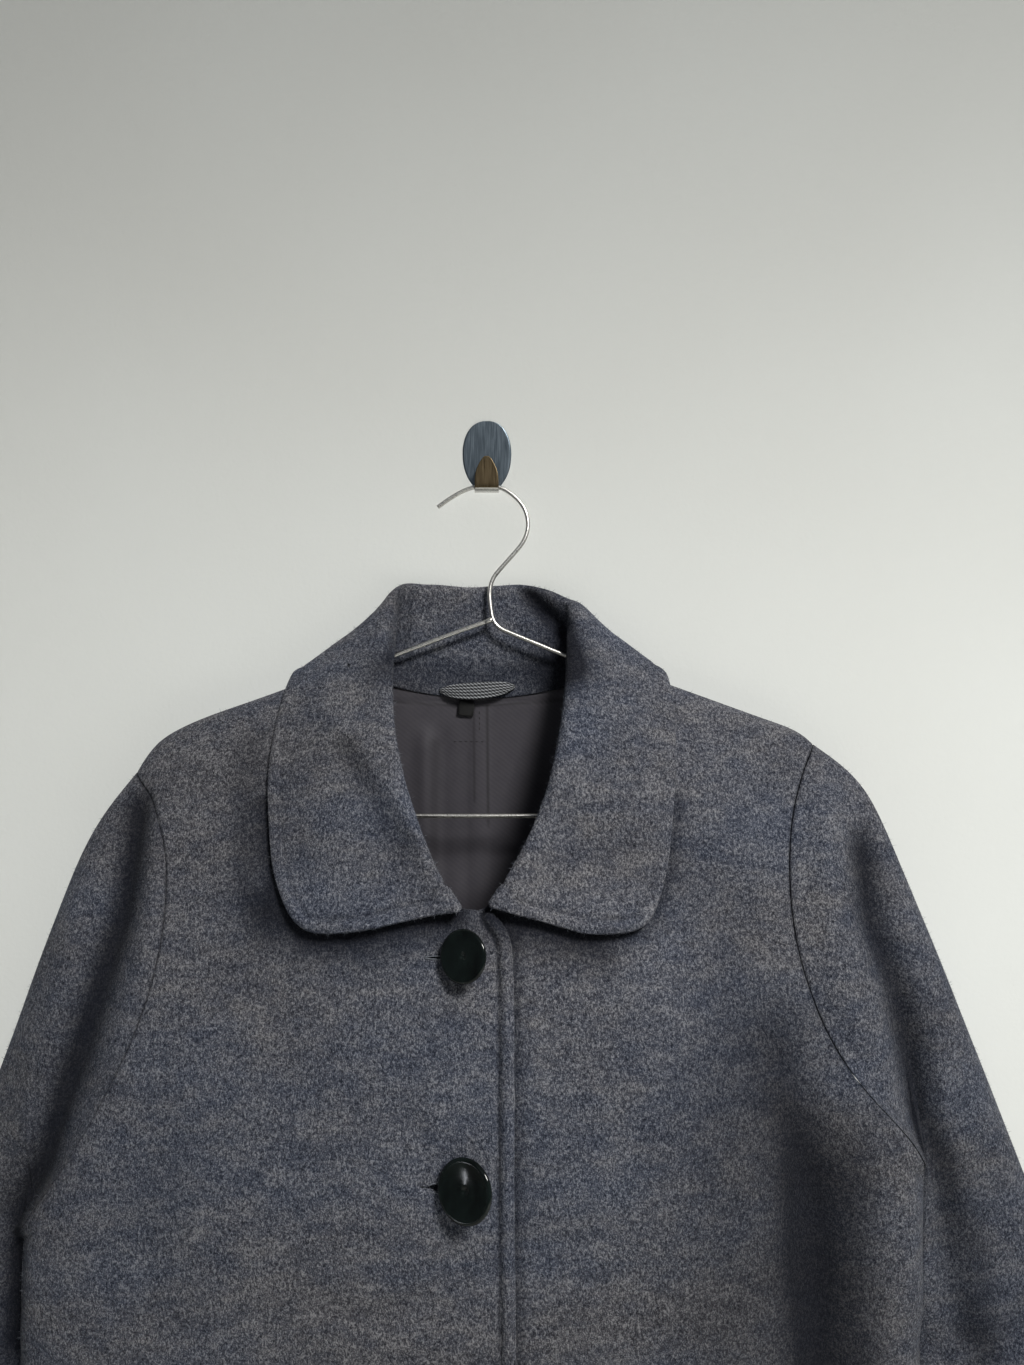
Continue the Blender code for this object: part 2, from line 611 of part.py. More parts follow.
def sleeve_rings(side, front, back, front_normals, back_normals):
    """Rings from the armhole to the cuff: outer points and inner points."""
    table = SLEEVE_LEFT_RINGS if side > 0 else SLEEVE_RIGHT_RINGS
    last = ROW_STEPS.index(float(UNDERARM_ROW))
    back_column = -1 if side > 0 else 0
    fore = [front[row][-1] for row in range(last + 1)]
    rear = [back[row][back_column] for row in range(last + 1)]
    fore_normals = [front_normals[row][-1] for row in range(last + 1)]
    rear_normals = [back_normals[row][back_column] for row in range(last + 1)]

    lengths = [0.0]
    for a, b in zip(fore, fore[1:]):
        lengths.append(lengths[-1] + (b - a).length)
    shares = [length / lengths[-1] for length in lengths]

    # Round the armhole: the shoulder point, down the front, the underarm, up the back
    ring = [(fore[0] + rear[0]) / 2] + fore[1:-1] + [(fore[-1] + rear[-1]) / 2]
    ring += [rear[row] for row in range(last - 1, 0, -1)]
    normals = [level(fore_normals[0])] + fore_normals[1:-1] + [level(fore_normals[-1])]
    normals += [rear_normals[row] for row in range(last - 1, 0, -1)]
    places = [(share, -1) for share in shares] + [(share, 1) for share in shares[last - 1:0:-1]]

    start = (ring[0].x, ring[0].z, ring[last].x, ring[last].z, ring[0].y, ring[last].y, table[0][6])
    stations = (start,) + table
    rings = []
    for step in SLEEVE_STEPS:
        outer_x, outer_z, inner_x, inner_z, outer_y, inner_y, thick = along(stations, step)
        outer_fold = Vector((outer_x, outer_y, outer_z))
        inner_fold = Vector((inner_x, inner_y, inner_z))
        blend = between(SLEEVE_BLEND, step)
        line = []
        for point, (share, face) in zip(ring, places):
            turn = math.pi * share
            oval = outer_fold.lerp(inner_fold, 0.5 - 0.5 * math.cos(turn))
            full = between(FOLD_FULLNESS, step) if face < 0 else 1.0
            thin = 1.0 - smooth(*FOLD_SHARES, share) * (1.0 - full)
            oval.y += face * thick * thin * max(math.sin(turn), 0.0) ** SLEEVE_ROUNDNESS
            moved = point + (outer_fold - ring[0]).lerp(inner_fold - ring[last], share)
            made = moved.lerp(oval, blend)
            if face < 0:
                made.y += trough(made.x, made.z) * math.sin(turn) ** 0.5 if 0 < share < 1 else 0.0
            line.append(made)
        rings.append(line)

    # The first ring is the armhole itself, moved a seam's gap off the panels' edges, and its
    # wall turns with the sleeve but never back over those edges
    count = len(ring)
    inside = [front[row][-2] for row in range(last + 1)]
    inside += [back[row][back_column + (-1 if side > 0 else 1)] for row in range(last - 1, 0, -1)]
    away = []
    for i in range(count):
        run = ring[(i + 1) % count] - ring[i - 1]
        way = run.cross(normals[i]).normalized()
        away.append(way if way.dot(ring[i] - inside[i]) > 0.0 else -way)
    away[0] = Vector((side, 0.0, 0.0))
    away[last] = Vector((0.0, 0.0, 1.0))
    rings = [[point + way * SEAM_GAP for point, way in zip(ring, away)]] + rings
    ring_normals = grid_normals(rings, closed=True)
    centre = sum(rings[6], Vector()) / count
    if ring_normals[6][0].dot(rings[6][0] - centre) < 0.0:
        ring_normals = [[-normal for normal in line] for line in ring_normals]
    for i, way in enumerate(away):
        into = ring_normals[0][i].dot(way)
        if into > 0.0:
            ring_normals[0][i] = (ring_normals[0][i] - way * into).normalized()
    return rings, offset_grid(rings, ring_normals, WOOL)


def curve_between(start, end, start_way, end_way, segments):
    """Points on a smooth curve that leaves and arrives in given ways, without its last."""
    length = (end - start).length
    points = []
    for i in range(segments):
        t = i / segments
        points.append((2 * t ** 3 - 3 * t ** 2 + 1) * start + (t ** 3 - 2 * t ** 2 + t) * length * start_way
                      + (3 * t ** 2 - 2 * t ** 3) * end + (t ** 3 - t ** 2) * length * end_way)
    return points


def clear_of_body(point):
    """Moves a point of the fall out to its clearance over the shoulders and fronts."""
    if point.z > shoulder_z(point.x) + FALL_CLEARANCE:
        return point
    moved = point.copy()
    if point.y < ridge_y(point.x):
        moved.y = min(moved.y, top_y(point.x, point.z) - FALL_CLEARANCE)
    else:
        moved.y = max(moved.y, back_y(point.x, point.z) + FALL_CLEARANCE)
    return moved


def collar_section(neck, fold, edge, roll):
    """Middle surface across the collar: stand, roll and fall."""
    to_neck, to_edge = (neck - fold).normalized(), (edge - fold).normalized()
    crest = -(to_neck + to_edge).normalized()
    apart = to_edge - to_neck
    apart = (apart - crest * apart.dot(crest)).normalized()
    start = neck + (fold - neck).normalized() * STAND_START
    centre = fold - crest * roll
    stand_top, fall_top = centre - apart * roll, centre + apart * roll
    points = curve_between(start, stand_top, (stand_top - start).normalized(), crest, STAND_SEGMENTS)
    for i in range(ROLL_SEGMENTS):
        turn = math.pi * i / ROLL_SEGMENTS
        points.append(centre - apart * roll * math.cos(turn) + crest * roll * math.sin(turn))
    way = (edge - fall_top).normalized()
    fall = curve_between(fall_top, edge, -crest * FALL_FULLNESS, way, FALL_SEGMENTS) + [edge]
    return points + [clear_of_body(point) for point in fall]


def collar_table():
    """All sections from the wearer's right front end round the neck to the left one."""
    sections = []
    for side, rows in ((1, COLLAR_LEFT_SECTIONS), (-1, COLLAR_RIGHT_SECTIONS)):
        half = []
        for row, fold_x, fold_y, fold_z, edge_x, edge_z, roll in rows:
            neck_x, neck_z = front_rows(side)[row][:2]
            rise = lap(neck_x) if side < 0 else 0.0
            inset = (0.0 if row == 0 else STAND_INSET) if row < COLLAR_END_ROW else -END_STAND_OFF
            neck_y = front_y(neck_x, neck_z) - rise + inset
            edge_y = top_y(edge_x, edge_z) - FALL_CLEARANCE if row else ridge_y(edge_x)
            half.append((neck_x, neck_y, neck_z, fold_x, fold_y, fold_z,
                         edge_x, edge_y, edge_z, roll))
        sections.append(half)
    back = []
    for neck_x, fold_x, fold_y, fold_z, edge_x, edge_y, edge_z, roll in COLLAR_BACK_SECTIONS:
        neck_z = neckline_z(neck_x)
        neck_y = back_y(neck_x, neck_z) - STAND_INSET
        back.append((neck_x, neck_y, neck_z, fold_x, fold_y, fold_z, edge_x, edge_y, edge_z, roll))
    left, right = sections
    return left + back + right[::-1]


def make_collar(finish):
    table = collar_table()
    last = len(table) - 1
    steps = []
    for index in range(last):
        from_end = min(index, last - 1 - index)
        parts = 1
        if from_end < CORNER_ROWS:
            parts = CORNER_PARTS
        elif from_end in (COLLAR_END_ROW - 1, COLLAR_END_ROW):
            parts = SHOULDER_PARTS
        steps += [index + i / parts for i in range(parts)]
    steps.append(float(last))
    middle = []
    for step in steps:
        row = along(table, step)
        neck, fold, edge = Vector(row[0:3]), Vector(row[3:6]), Vector(row[6:9])
        middle.append(collar_section(neck, fold, edge, row[9]))
    normals = grid_normals(middle)
    outer = offset_grid(middle, normals, -WOOL / 2)
    inner = offset_grid(middle, normals, WOOL / 2)
    return add_wall("collar", outer, inner, finish)


def lining_face_y(x, z):
    """The lining's face towards the room."""
    pleat = PLEAT_RISE * (1.0 - smooth(PLEAT_EDGE, 1.0, abs(x - PLEAT_X) / PLEAT_HALF_WIDTH))
    return back_y(x, z) - WOOL - LINING_GAP - LINING - pleat


def make_lining(finish):
    columns = [-share for share in reversed(LINING_COLUMNS[1:])] + list(LINING_COLUMNS)
    outer = []
    for step in LINING_STEPS:
        middle_z = along([(z,) for z in BACK_MIDDLE_Z], step)[0]
        row = []
        for share in columns:
            side = 1 if share > 0 else -1
            outer_x = along(front_rows(side), step)[2]
            x = PLEAT_X + abs(share) * side * abs(outer_x - PLEAT_X)
            top = min(neckline_z(x) - LINING_TOP_DROP, shoulder_z(x) - LINING_RIDGE_DROP)
            if abs(x - NECK_CENTRE_X) > NECK_HALF_WIDTH:
                top = shoulder_z(x) - LINING_RIDGE_DROP
            fallen = (middle_z - BACK_NECK_Z) / (HEM_Z - BACK_NECK_Z)
            z = top + (HEM_Z + LINING_HEM_RISE - top) * fallen
            row.append(Vector((x, lining_face_y(x, z), z)))
        outer.append(row)
    normals = grid_normals(outer)
    if normals[3][3].y > 0.0:
        normals = [[-normal for normal in line] for line in normals]
    return add_wall("lining_back", outer, offset_grid(outer, normals, LINING), finish)


def make_hang_loop(finish):
    outer = []
    for i in range(LOOP_SEGMENTS + 1):
        share = i / LOOP_SEGMENTS
        hump = 4.0 * share * (1.0 - share)
        x = LOOP_LEFT[0] + (LOOP_RIGHT[0] - LOOP_LEFT[0]) * share
        z = LOOP_LEFT[1] + (LOOP_RIGHT[1] - LOOP_LEFT[1]) * share - LOOP_SAG * hump
        row = []
        half = LOOP_BAND / 2 * (LOOP_END + (1.0 - LOOP_END) * math.sqrt(hump))
        for across in LOOP_ACROSS:
            bulge = LOOP_BULGE * (1.0 - across ** 2)
            level_z = z + across * half
            base = back_y(x, level_z) - WOOL - LINING_GAP - LINING - SEAM_GAP
            y = base - LOOP_THICKNESS - LOOP_STAND_OFF * hump
            row.append(Vector((x, y - bulge, level_z)))
        outer.append(row)
    inner = [[point + Vector((0.0, LOOP_THICKNESS, 0.0)) for point in row] for row in outer]
    return add_wall("hang_loop", outer, inner, finish)


def make_neck_label(finish):
    outer = []
    for down in (0.5, 0.0, -0.5):
        row = []
        for across in (-0.5, 0.0, 0.5):
            flat = Matrix.Rotation(LABEL_TILT, 2) @ Vector((across * LABEL_SIZE[0], down * LABEL_SIZE[1]))
            x, z = LABEL_CENTRE[0] + flat.x, LABEL_CENTRE[1] + flat.y
            base = back_y(x, z) - WOOL - LINING_GAP - LINING - PLEAT_RISE
            row.append(Vector((x, base - SEAM_GAP - LABEL_THICKNESS, z)))
        outer.append(row)
    inner = [[point + Vector((0.0, LABEL_THICKNESS, 0.0)) for point in row] for row in outer]
    return add_wall("neck_label", outer, inner, finish)


def make_button(number, x, z, turn_degrees, size, finish):
    """A dished disc spun about its axis, with its thread stalk through the buttonhole."""
    face_y = front_y(x, z) - lap(x) - SEAM_GAP
    stalk = -face_y + BUTTON_STAND_OFF + front_y(x, z) - STALK_GAP
    disc = [(radius * size, height * size) for radius, height in BUTTON_PROFILE[1:]]
    profile = [(STALK_RADIUS, -stalk), BUTTON_PROFILE[0]] + disc
    bm = bmesh.new()
    start = [bm.verts.new((radius * MM, 0.0, height * MM)) for radius, height in profile]
    edges = [bm.edges.new(pair) for pair in zip(start, start[1:])]
    bmesh.ops.spin(bm, geom=start + edges, cent=(0, 0, 0), axis=(0, 0, 1),
                   angle=math.tau, steps=BUTTON_SIDES, use_merge=True)
    bmesh.ops.holes_fill(bm, edges=bm.edges, sides=0)
    made = add_object(f"button_{number}", bm, finish)
    # The disc's axis points out of the wall, then the disc alone turns on its stalk
    lean = Matrix.Rotation(math.radians(-turn_degrees), 4, "Z")
    for vertex in made.data.vertices:
        place = Vector((vertex.co.x, -vertex.co.z, vertex.co.y))
        vertex.co = lean @ place if vertex.co.z >= 0.0 else place
    made.location = (x * MM, (face_y - BUTTON_STAND_OFF) * MM, z * MM)
    return made


def hanger_route():
    route = list(CROOK_ROUTE)
    route += [(x, shoulder_z(x) - WIRE_UNDER_SHOULDER) for x in RIGHT_ARM_X]
    route += RIGHT_BEND
    route += [(x, BAR_Z) for x in BAR_X]
    route += LEFT_BEND
    route += [(x, shoulder_z(x) - WIRE_UNDER_SHOULDER) for x in LEFT_ARM_X]
    return route + list(NECK_JOIN_ROUTE)


def make_hanger(finish):
    route = hanger_route()
    points = []
    for index in range(len(route) - 1):
        length = math.dist(route[index], route[index + 1])
        parts = min(ROUTE_STEPS, max(1, round(length / BEND_SPACING)))
        if length > STRAIGHT_LENGTH:
            parts = 1
        points += [along(route, index + i / parts) for i in range(parts)]
    points.append(route[-1])
    curve = bpy.data.curves.new("hanger", "CURVE")
    curve.dimensions = "3D"
    curve.bevel_depth = WIRE_RADIUS * MM
    curve.bevel_resolution = WIRE_RESOLUTION
    curve.use_fill_caps = True
    spline = curve.splines.new("POLY")
    spline.points.add(len(points) - 1)
    for point, (x, z) in zip(spline.points, points):
        point.co = (x * MM, wire_y(z) * MM, z * MM, 1.0)
    curve.materials.append(finish)
    made = bpy.data.objects.new("hanger", curve)
    bpy.context.scene.collection.objects.link(made)
    return made


def make_wall_hook(finish):
    """The strip's middle line runs down the plate, round the bend and up the tab."""
    plate_y = -PAD_THICKNESS - HOOK_GAP - STEEL / 2
    stations = [(plate_y, z, half, Vector((0, 1, 0))) for z, half in PLATE_HALF_WIDTHS[:-1]]
    for i in range(BEND_STEPS + 1):
        share = i / BEND_STEPS
        turn = math.pi * share
        half = PLATE_HALF_WIDTHS[-1][1] + (TAB_HALF_WIDTHS[0][1] - PLATE_HALF_WIDTHS[-1][1]) * share
        y = plate_y - BEND_RADIUS + BEND_RADIUS * math.cos(turn)
        z = BEND_CENTRE_Z - BEND_RADIUS * math.sin(turn)
        stations.append((y, z, half, Vector((0, math.cos(turn), -math.sin(turn)))))
    tab_y = plate_y - 2 * BEND_RADIUS
    stations += [(tab_y, z, half, Vector((0, -1, 0))) for z, half in TAB_HALF_WIDTHS[1:]]
    outer, inner = [], []
    for y, z, half, out in stations:
        row = [Vector((half * (2 * c / HOOK_COLUMNS - 1), y, z)) for c in range(HOOK_COLUMNS + 1)]
        outer.append([point + out * STEEL / 2 for point in row])
        inner.append([point - out * STEEL / 2 for point in row])
    return add_wall("wall_hook", outer, inner, finish)


def make_hook_pad(finish):
    bm = bmesh.new()
    bmesh.ops.create_cone(bm, cap_ends=True, segments=PAD_SIDES, radius1=1.0, radius2=1.0, depth=1.0)
    bmesh.ops.scale(bm, verts=bm.verts, vec=(PAD_RADII[0] * MM, PAD_RADII[1] * MM, PAD_THICKNESS * MM))
    bmesh.ops.rotate(bm, verts=bm.verts, cent=(0, 0, 0), matrix=Matrix.Rotation(math.pi / 2, 3, "X"))
    bmesh.ops.translate(bm, verts=bm.verts, vec=(0, -PAD_THICKNESS / 2 * MM, PAD_CENTRE_Z * MM))
    return add_object("hook_pad", bm, finish)


def main():
    for item in list(bpy.data.objects):
        bpy.data.objects.remove(item, do_unlink=True)

    wool = material("boiled_wool", (0.066, 0.072, 0.092), 0.95)
    lining = material("lining_twill", (0.045, 0.042, 0.050), 0.6)
    knit = material("knit_tape", (0.33, 0.35, 0.36), 0.9)
    satin = material("label_satin", (0.008, 0.008, 0.009), 0.5)
    resin = material("button_resin", (0.006, 0.010, 0.010), 0.12)
    wire = material("chrome_wire", (0.70, 0.71, 0.72), 0.15, 1.0)
    steel = material("brushed_steel", (0.46, 0.48, 0.50), 0.32, 1.0)
    foam = material("pad_foam", (0.75, 0.75, 0.73), 0.8)

    right_outer, _, right_normals = front_walls(-1)
    left_outer, left_inner, left_normals = front_walls(1)
    back_outer, back_inner, back_normals = back_walls()

    for name, side, outer, normals in (("sleeve_right", -1, right_outer, right_normals),
                                       ("sleeve_left", 1, left_outer, left_normals)):
        rings, inner_rings = sleeve_rings(side, outer, back_outer, normals, back_normals)
        add_wall(name, rings, inner_rings, wool, closed=True)

    add_wall("back", back_outer, back_inner, wool)
    add_wall("front_left", left_outer, left_inner, wool)
    slit_outer, slit_inner, slits = with_slits(right_outer, right_normals)
    add_wall("front_right", slit_outer, slit_inner, wool, holes=slits)
    make_collar(wool)

    make_lining(lining)
    make_hang_loop(knit)
    make_neck_label(satin)
    for number, (x, z, turn, size) in enumerate(BUTTONS, start=1):
        make_button(number, x, z, turn, size, resin)
    make_hanger(wire)
    make_wall_hook(steel)
    make_hook_pad(foam)


main()
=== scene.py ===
# Wool overcoat on a wire hanger, hung from an oval steel wall hook.
# Lengths in the dictionaries are millimetres, in the frame's own axes.
import json
import math

import bmesh
import bpy
import numpy as np
from mathutils import Matrix, Vector
from mathutils.bvhtree import BVHTree
from mathutils.kdtree import KDTree

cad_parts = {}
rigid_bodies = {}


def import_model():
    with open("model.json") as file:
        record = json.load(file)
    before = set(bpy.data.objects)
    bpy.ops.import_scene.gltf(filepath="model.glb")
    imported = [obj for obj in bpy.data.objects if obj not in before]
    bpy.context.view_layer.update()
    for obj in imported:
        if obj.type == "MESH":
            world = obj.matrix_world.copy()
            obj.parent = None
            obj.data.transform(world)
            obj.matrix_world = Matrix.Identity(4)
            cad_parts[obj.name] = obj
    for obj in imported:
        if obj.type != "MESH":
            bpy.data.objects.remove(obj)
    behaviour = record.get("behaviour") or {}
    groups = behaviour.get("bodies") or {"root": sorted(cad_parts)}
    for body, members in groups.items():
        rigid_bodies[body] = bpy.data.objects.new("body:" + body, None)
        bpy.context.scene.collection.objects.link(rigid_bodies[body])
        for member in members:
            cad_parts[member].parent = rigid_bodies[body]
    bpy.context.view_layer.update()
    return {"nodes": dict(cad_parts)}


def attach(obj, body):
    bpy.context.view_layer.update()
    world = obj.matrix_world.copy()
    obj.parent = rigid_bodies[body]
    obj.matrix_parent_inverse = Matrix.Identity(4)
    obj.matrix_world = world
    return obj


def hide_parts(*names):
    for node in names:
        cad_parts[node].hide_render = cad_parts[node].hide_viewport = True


for leftOver in list(bpy.data.objects):
    bpy.data.objects.remove(leftOver, do_unlink=True)

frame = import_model()
nodes = frame["nodes"]
mm = 0.001
print("frame loaded:", len(nodes), "nodes")


# hex sRGB to linear
def linear(code):
    out = []
    for start in (1, 3, 5):
        value = int(code[start:start + 2], 16) / 255
        out.append(value / 12.92 if value <= 0.04045 else ((value + 0.055) / 1.055) ** 2.4)
    return (*out, 1.0)


# sets a node's own properties or its sockets, and links them: a node stands for its first output
def setNode(tree, node, settings, links):
    for key, value in settings.items():
        if key == "ramp":
            ramp = node.color_ramp
            while len(ramp.elements) < len(value):
                ramp.elements.new(0.5)
            for element, (place, code) in zip(ramp.elements, value):
                element.position = place
                element.color = linear(code)
        elif isinstance(key, str) and hasattr(node, key):
            setattr(node, key, value)
        else:
            node.inputs[key].default_value = value
    for key, source in links.items():
        output = source if isinstance(source, bpy.types.NodeSocket) else source.outputs[0]
        tree.links.new(output, node.inputs[key])
    return node


def addNode(tree, kind, settings={}, links={}):
    return setNode(tree, tree.nodes.new("ShaderNode" + kind), settings, links)


def newMaterial(name):
    made = bpy.data.materials.new(name)
    made.use_nodes = True
    tree = made.node_tree
    return made, tree, tree.nodes["Principled BSDF"]


def dress(thing, *materials):
    thing.data.materials.clear()
    for item in materials:
        thing.data.materials.append(item)


def addThing(name, data):
    thing = bpy.data.objects.new(name, data)
    bpy.context.scene.collection.objects.link(thing)
    return thing


def meshOf(name, bm):
    mesh = bpy.data.meshes.new(name)
    bm.to_mesh(mesh)
    bm.free()
    return mesh


def addPiece(name, mesh, finish):
    thing = addThing(name, mesh)
    dress(thing, finish)
    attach(thing, "root")
    return thing


def treeOf(thing):
    return BVHTree.FromObject(thing, bpy.context.evaluated_depsgraph_get())


def evaluatedMesh(thing):
    return bpy.data.meshes.new_from_object(thing.evaluated_get(bpy.context.evaluated_depsgraph_get()))


# one value or one vector for each vertex or face
def readAll(items, name, size=3):
    values = np.empty(len(items) * size)
    items.foreach_get(name, values)
    return values.reshape(-1, size) if size > 1 else values


def smoothStep(low, high, value):
    share = np.clip((value - low) / (high - low), 0.0, 1.0)
    return share * share * (3.0 - 2.0 * share)


def bell(away, width):
    return np.exp(-(away / width) ** 2)


# A colour, a relief in mm from a height, and the sockets that are the same all over
def finishShader(tree, shader, colour, height, strength, relief, sockets):
    bump = addNode(tree, "Bump", {"Strength": strength, "Distance": relief * mm}, {"Height": height})
    setNode(tree, shader, sockets, {"Base Color": colour, "Normal": bump})


# Painted shade: the pile is darkened where its shade attribute rises, standing for the shade
# in stitched grooves, seams and hollows, and beside the edges that lie over it
def darkenByPaintedShade(tree, colour, code):
    sewn = addNode(tree, "Attribute", {"attribute_name": "sewnLine"}).outputs["Fac"]
    return addNode(tree, "Mix", {"data_type": "RGBA", 7: linear(code)}, {0: sewn, 6: colour}).outputs[2]


# Boiled wool: loosely spun melange yarn, knitted, then felted hot. The eye gets no weave,
# only short matted fibres in light grey and navy, cloudy patches and a soft dull bloom.
boiledWoolLook = {
    "fleck": 1.6, "fibre": 0.8, "cloud": 14.0, "patch": 80.0,      # sizes in mm
    "upright": (1.0, 1.0, 0.72), "level": (0.6, 1.0, 1.3),         # flecks stand, clouds lie level
    "cool": ((0.08, "#1e222d"), (0.5, "#4a4f5d"), (0.95, "#898d98")),
    "warm": ((0.08, "#222227"), (0.5, "#505056"), (0.95, "#8e8e92")),
    # sewn is the colour of the painted shade, bloom the tint of the sheen
    "contrast": (0.595, 1.18), "warmth": (0.68, 1.12), "sewn": "#15171f", "bloom": "#c4cad6",
    "relief": 0.5,
}


def makeBoiledWool():
    look = boiledWoolLook
    made, tree, shader = newMaterial("boiledWoolMelange")
    place = addNode(tree, "TexCoord").outputs["Object"]
    upright = addNode(tree, "Mapping", {"Scale": look["upright"]}, {"Vector": place})
    level = addNode(tree, "Mapping", {"Scale": look["level"]}, {"Vector": place})
    fleck, fibre, cloud, patch = (
        addNode(tree, "TexNoise", {"Scale": 1000 / look[name], "Detail": detail, "Roughness": rough},
                {"Vector": way})
        for name, detail, rough, way in (("fleck", 3.0, 0.75, upright), ("fibre", 2.0, 0.7, upright),
                                         ("cloud", 3.0, 0.65, level), ("patch", 1.0, 0.5, level)))
    fine = addNode(tree, "Math", {"operation": "MULTIPLY_ADD", 1: 0.5}, {0: fibre, 2: fleck})
    heap = addNode(tree, "Math", {"operation": "MULTIPLY_ADD", 1: 0.3}, {0: cloud, 2: fine})
    low, high = look["contrast"]
    height = addNode(tree, "MapRange", {1: low, 2: high}, {0: heap})
    cool, warm = (addNode(tree, "ValToRGB", {"ramp": look[name]}, {0: height}) for name in ("cool", "warm"))
    slow = addNode(tree, "Math", {"operation": "MULTIPLY_ADD", 1: 0.8}, {0: cloud, 2: patch})
    low, high = look["warmth"]
    tint = addNode(tree, "MapRange", {1: low, 2: high}, {0: slow})
    blend = addNode(tree, "Mix", {"data_type": "RGBA"}, {0: tint, 6: cool, 7: warm})
    finishShader(tree, shader, darkenByPaintedShade(tree, blend.outputs[2], look["sewn"]), height, 0.9, look["relief"],
                 {"Roughness": 0.95, "Specular IOR Level": 0.12, "Sheen Weight": 0.06,
                  "Sheen Roughness": 0.45, "Sheen Tint": linear(look["bloom"])})
    return made


# Lining: viscose twill, woven and calendered: a soft shine and faint diagonal lines.
# The rib is coarser than the real 0.4 mm, so that it shows.
twillLook = {"rib": 1.3, "lean": 52.0, "slubs": 110.0, "colours": ((0.3, "#3d3b42"), (0.95, "#454349")),
             # sewn is the colour of the painted shade in the lining's folds, pleat and neck seam
             "sewn": "#0e0d10", "relief": 0.1}


def makeTwill():
    look = twillLook
    made, tree, shader = newMaterial("viscoseTwillTaupe")
    place = addNode(tree, "TexCoord").outputs["Object"]
    turned = addNode(tree, "Mapping", {"Rotation": (0.0, math.radians(look["lean"]), 0.0)}, {"Vector": place})
    rib = addNode(tree, "TexWave", {"bands_direction": "X", "Scale": 1000 / look["rib"] / math.tau,
                                    "Distortion": 0.8, "Detail": 1.0}, {"Vector": turned})
    slub = addNode(tree, "TexNoise", {"Scale": look["slubs"], "Detail": 4.0, "Roughness": 0.7},
                   {"Vector": place})
    both = addNode(tree, "Math", {"operation": "MULTIPLY_ADD", 1: 0.35}, {0: rib.outputs[1], 2: slub})
    colour = addNode(tree, "ValToRGB", {"ramp": look["colours"]}, {0: both})
    finishShader(tree, shader, darkenByPaintedShade(tree, colour, look["sewn"]), both, 0.25, look["relief"],
                 {"Roughness": 0.66, "Specular IOR Level": 0.3, "Sheen Weight": 0.1})
    return made


# Hang loop: a cotton tape knitted in courses along the band, light loops over dark gaps.
knitLook = {"course": 2.2, "loop": 2.4, "colours": ((0.15, "#17191e"), (0.8, "#9a9da2")), "relief": 0.5}


def makeKnit():
    look = knitLook
    made, tree, shader = newMaterial("knittedCottonTape")
    band = addNode(tree, "UVMap", {"uv_map": "band"})        # millimetres along and across
    parts = addNode(tree, "SeparateXYZ", {}, {0: band})
    across = addNode(tree, "Math", {"operation": "MULTIPLY", 1: math.tau / look["course"]},
                     {0: parts.outputs[1]})
    lean = addNode(tree, "Math", {"operation": "MULTIPLY_ADD", 1: math.tau / look["loop"]},
                   {0: parts, 2: across})
    rows, loops = (addNode(tree, "Math", {"operation": "COSINE"}, {0: phase}) for phase in (across, lean))
    heap = addNode(tree, "Math", {"operation": "MULTIPLY_ADD", 1: 1.1}, {0: loops, 2: rows})
    height = addNode(tree, "MapRange", {1: -1.3, 2: 2.0}, {0: heap})
    colour = addNode(tree, "ValToRGB", {"ramp": look["colours"]}, {0: height})
    finishShader(tree, shader, colour, height, 0.9, look["relief"], {"Roughness": 0.9, "Sheen Weight": 0.2})
    return made


# Plain finishes: a noise in the object's own coordinates, from dark to pale. Size and
# relief are mm; what a finish doesn't say is as in usualFinish.
usualFinish = {"size": 1.0, "stretch": (1, 1, 1), "metal": 0.0, "ior": 1.5}
plainLooks = {
    # woven satin ribbon: tight warp threads, a low shine
    "blackSatinRibbon": {"dark": "#060607", "pale": "#121214", "size": 1.2, "stretch": (1, 1, 0.2),
                         "rough": 0.5, "relief": 0.1},
    # cast polyester resin, tumble polished: glossy black green with faint cloudy streaks
    "castPolyesterResin": {"dark": "#070a0a", "pale": "#141c1b", "size": 9.0, "stretch": (1, 1, 0.5),
                           "rough": 0.1, "relief": 0.01, "ior": 1.4},
    # nickel-plated steel wire, drawn and tumbled: bright, with faint draw lines
    "nickelPlatedWire": {"dark": "#c2c1be", "pale": "#e2e0dc", "rough": 0.32, "metal": 1.0, "relief": 0.02},
    # stainless sheet, belt brushed upright before it was punched: grey with upright lines
    "brushedStainless": {"dark": "#616d77", "pale": "#838f99", "size": 0.5, "stretch": (1, 1, 0.03),
                         "rough": 0.36, "metal": 1.0, "relief": 0.03},
    # the same strip where it is bent up, its colour a painted reflection of the warm room
    "brushedStainlessPaintedReflection": {"dark": "#6b5c45", "pale": "#8f7f64", "size": 0.5, "stretch": (1, 1, 0.03),
                             "rough": 0.34, "metal": 1.0, "relief": 0.03},
    # closed-cell polyethylene foam tape
    "foamTape": {"dark": "#c9c8c2", "pale": "#dcdbd6", "rough": 0.8, "relief": 0.08},
    # mercerised buttonhole thread
    "buttonholeThread": {"dark": "#3c4049", "pale": "#6f747d", "size": 0.9, "rough": 0.7, "relief": 0.15},
    "blackSewingThread": {"dark": "#0a0a0c", "pale": "#1a1a1e", "size": 0.7, "rough": 0.6, "relief": 0.1},
}


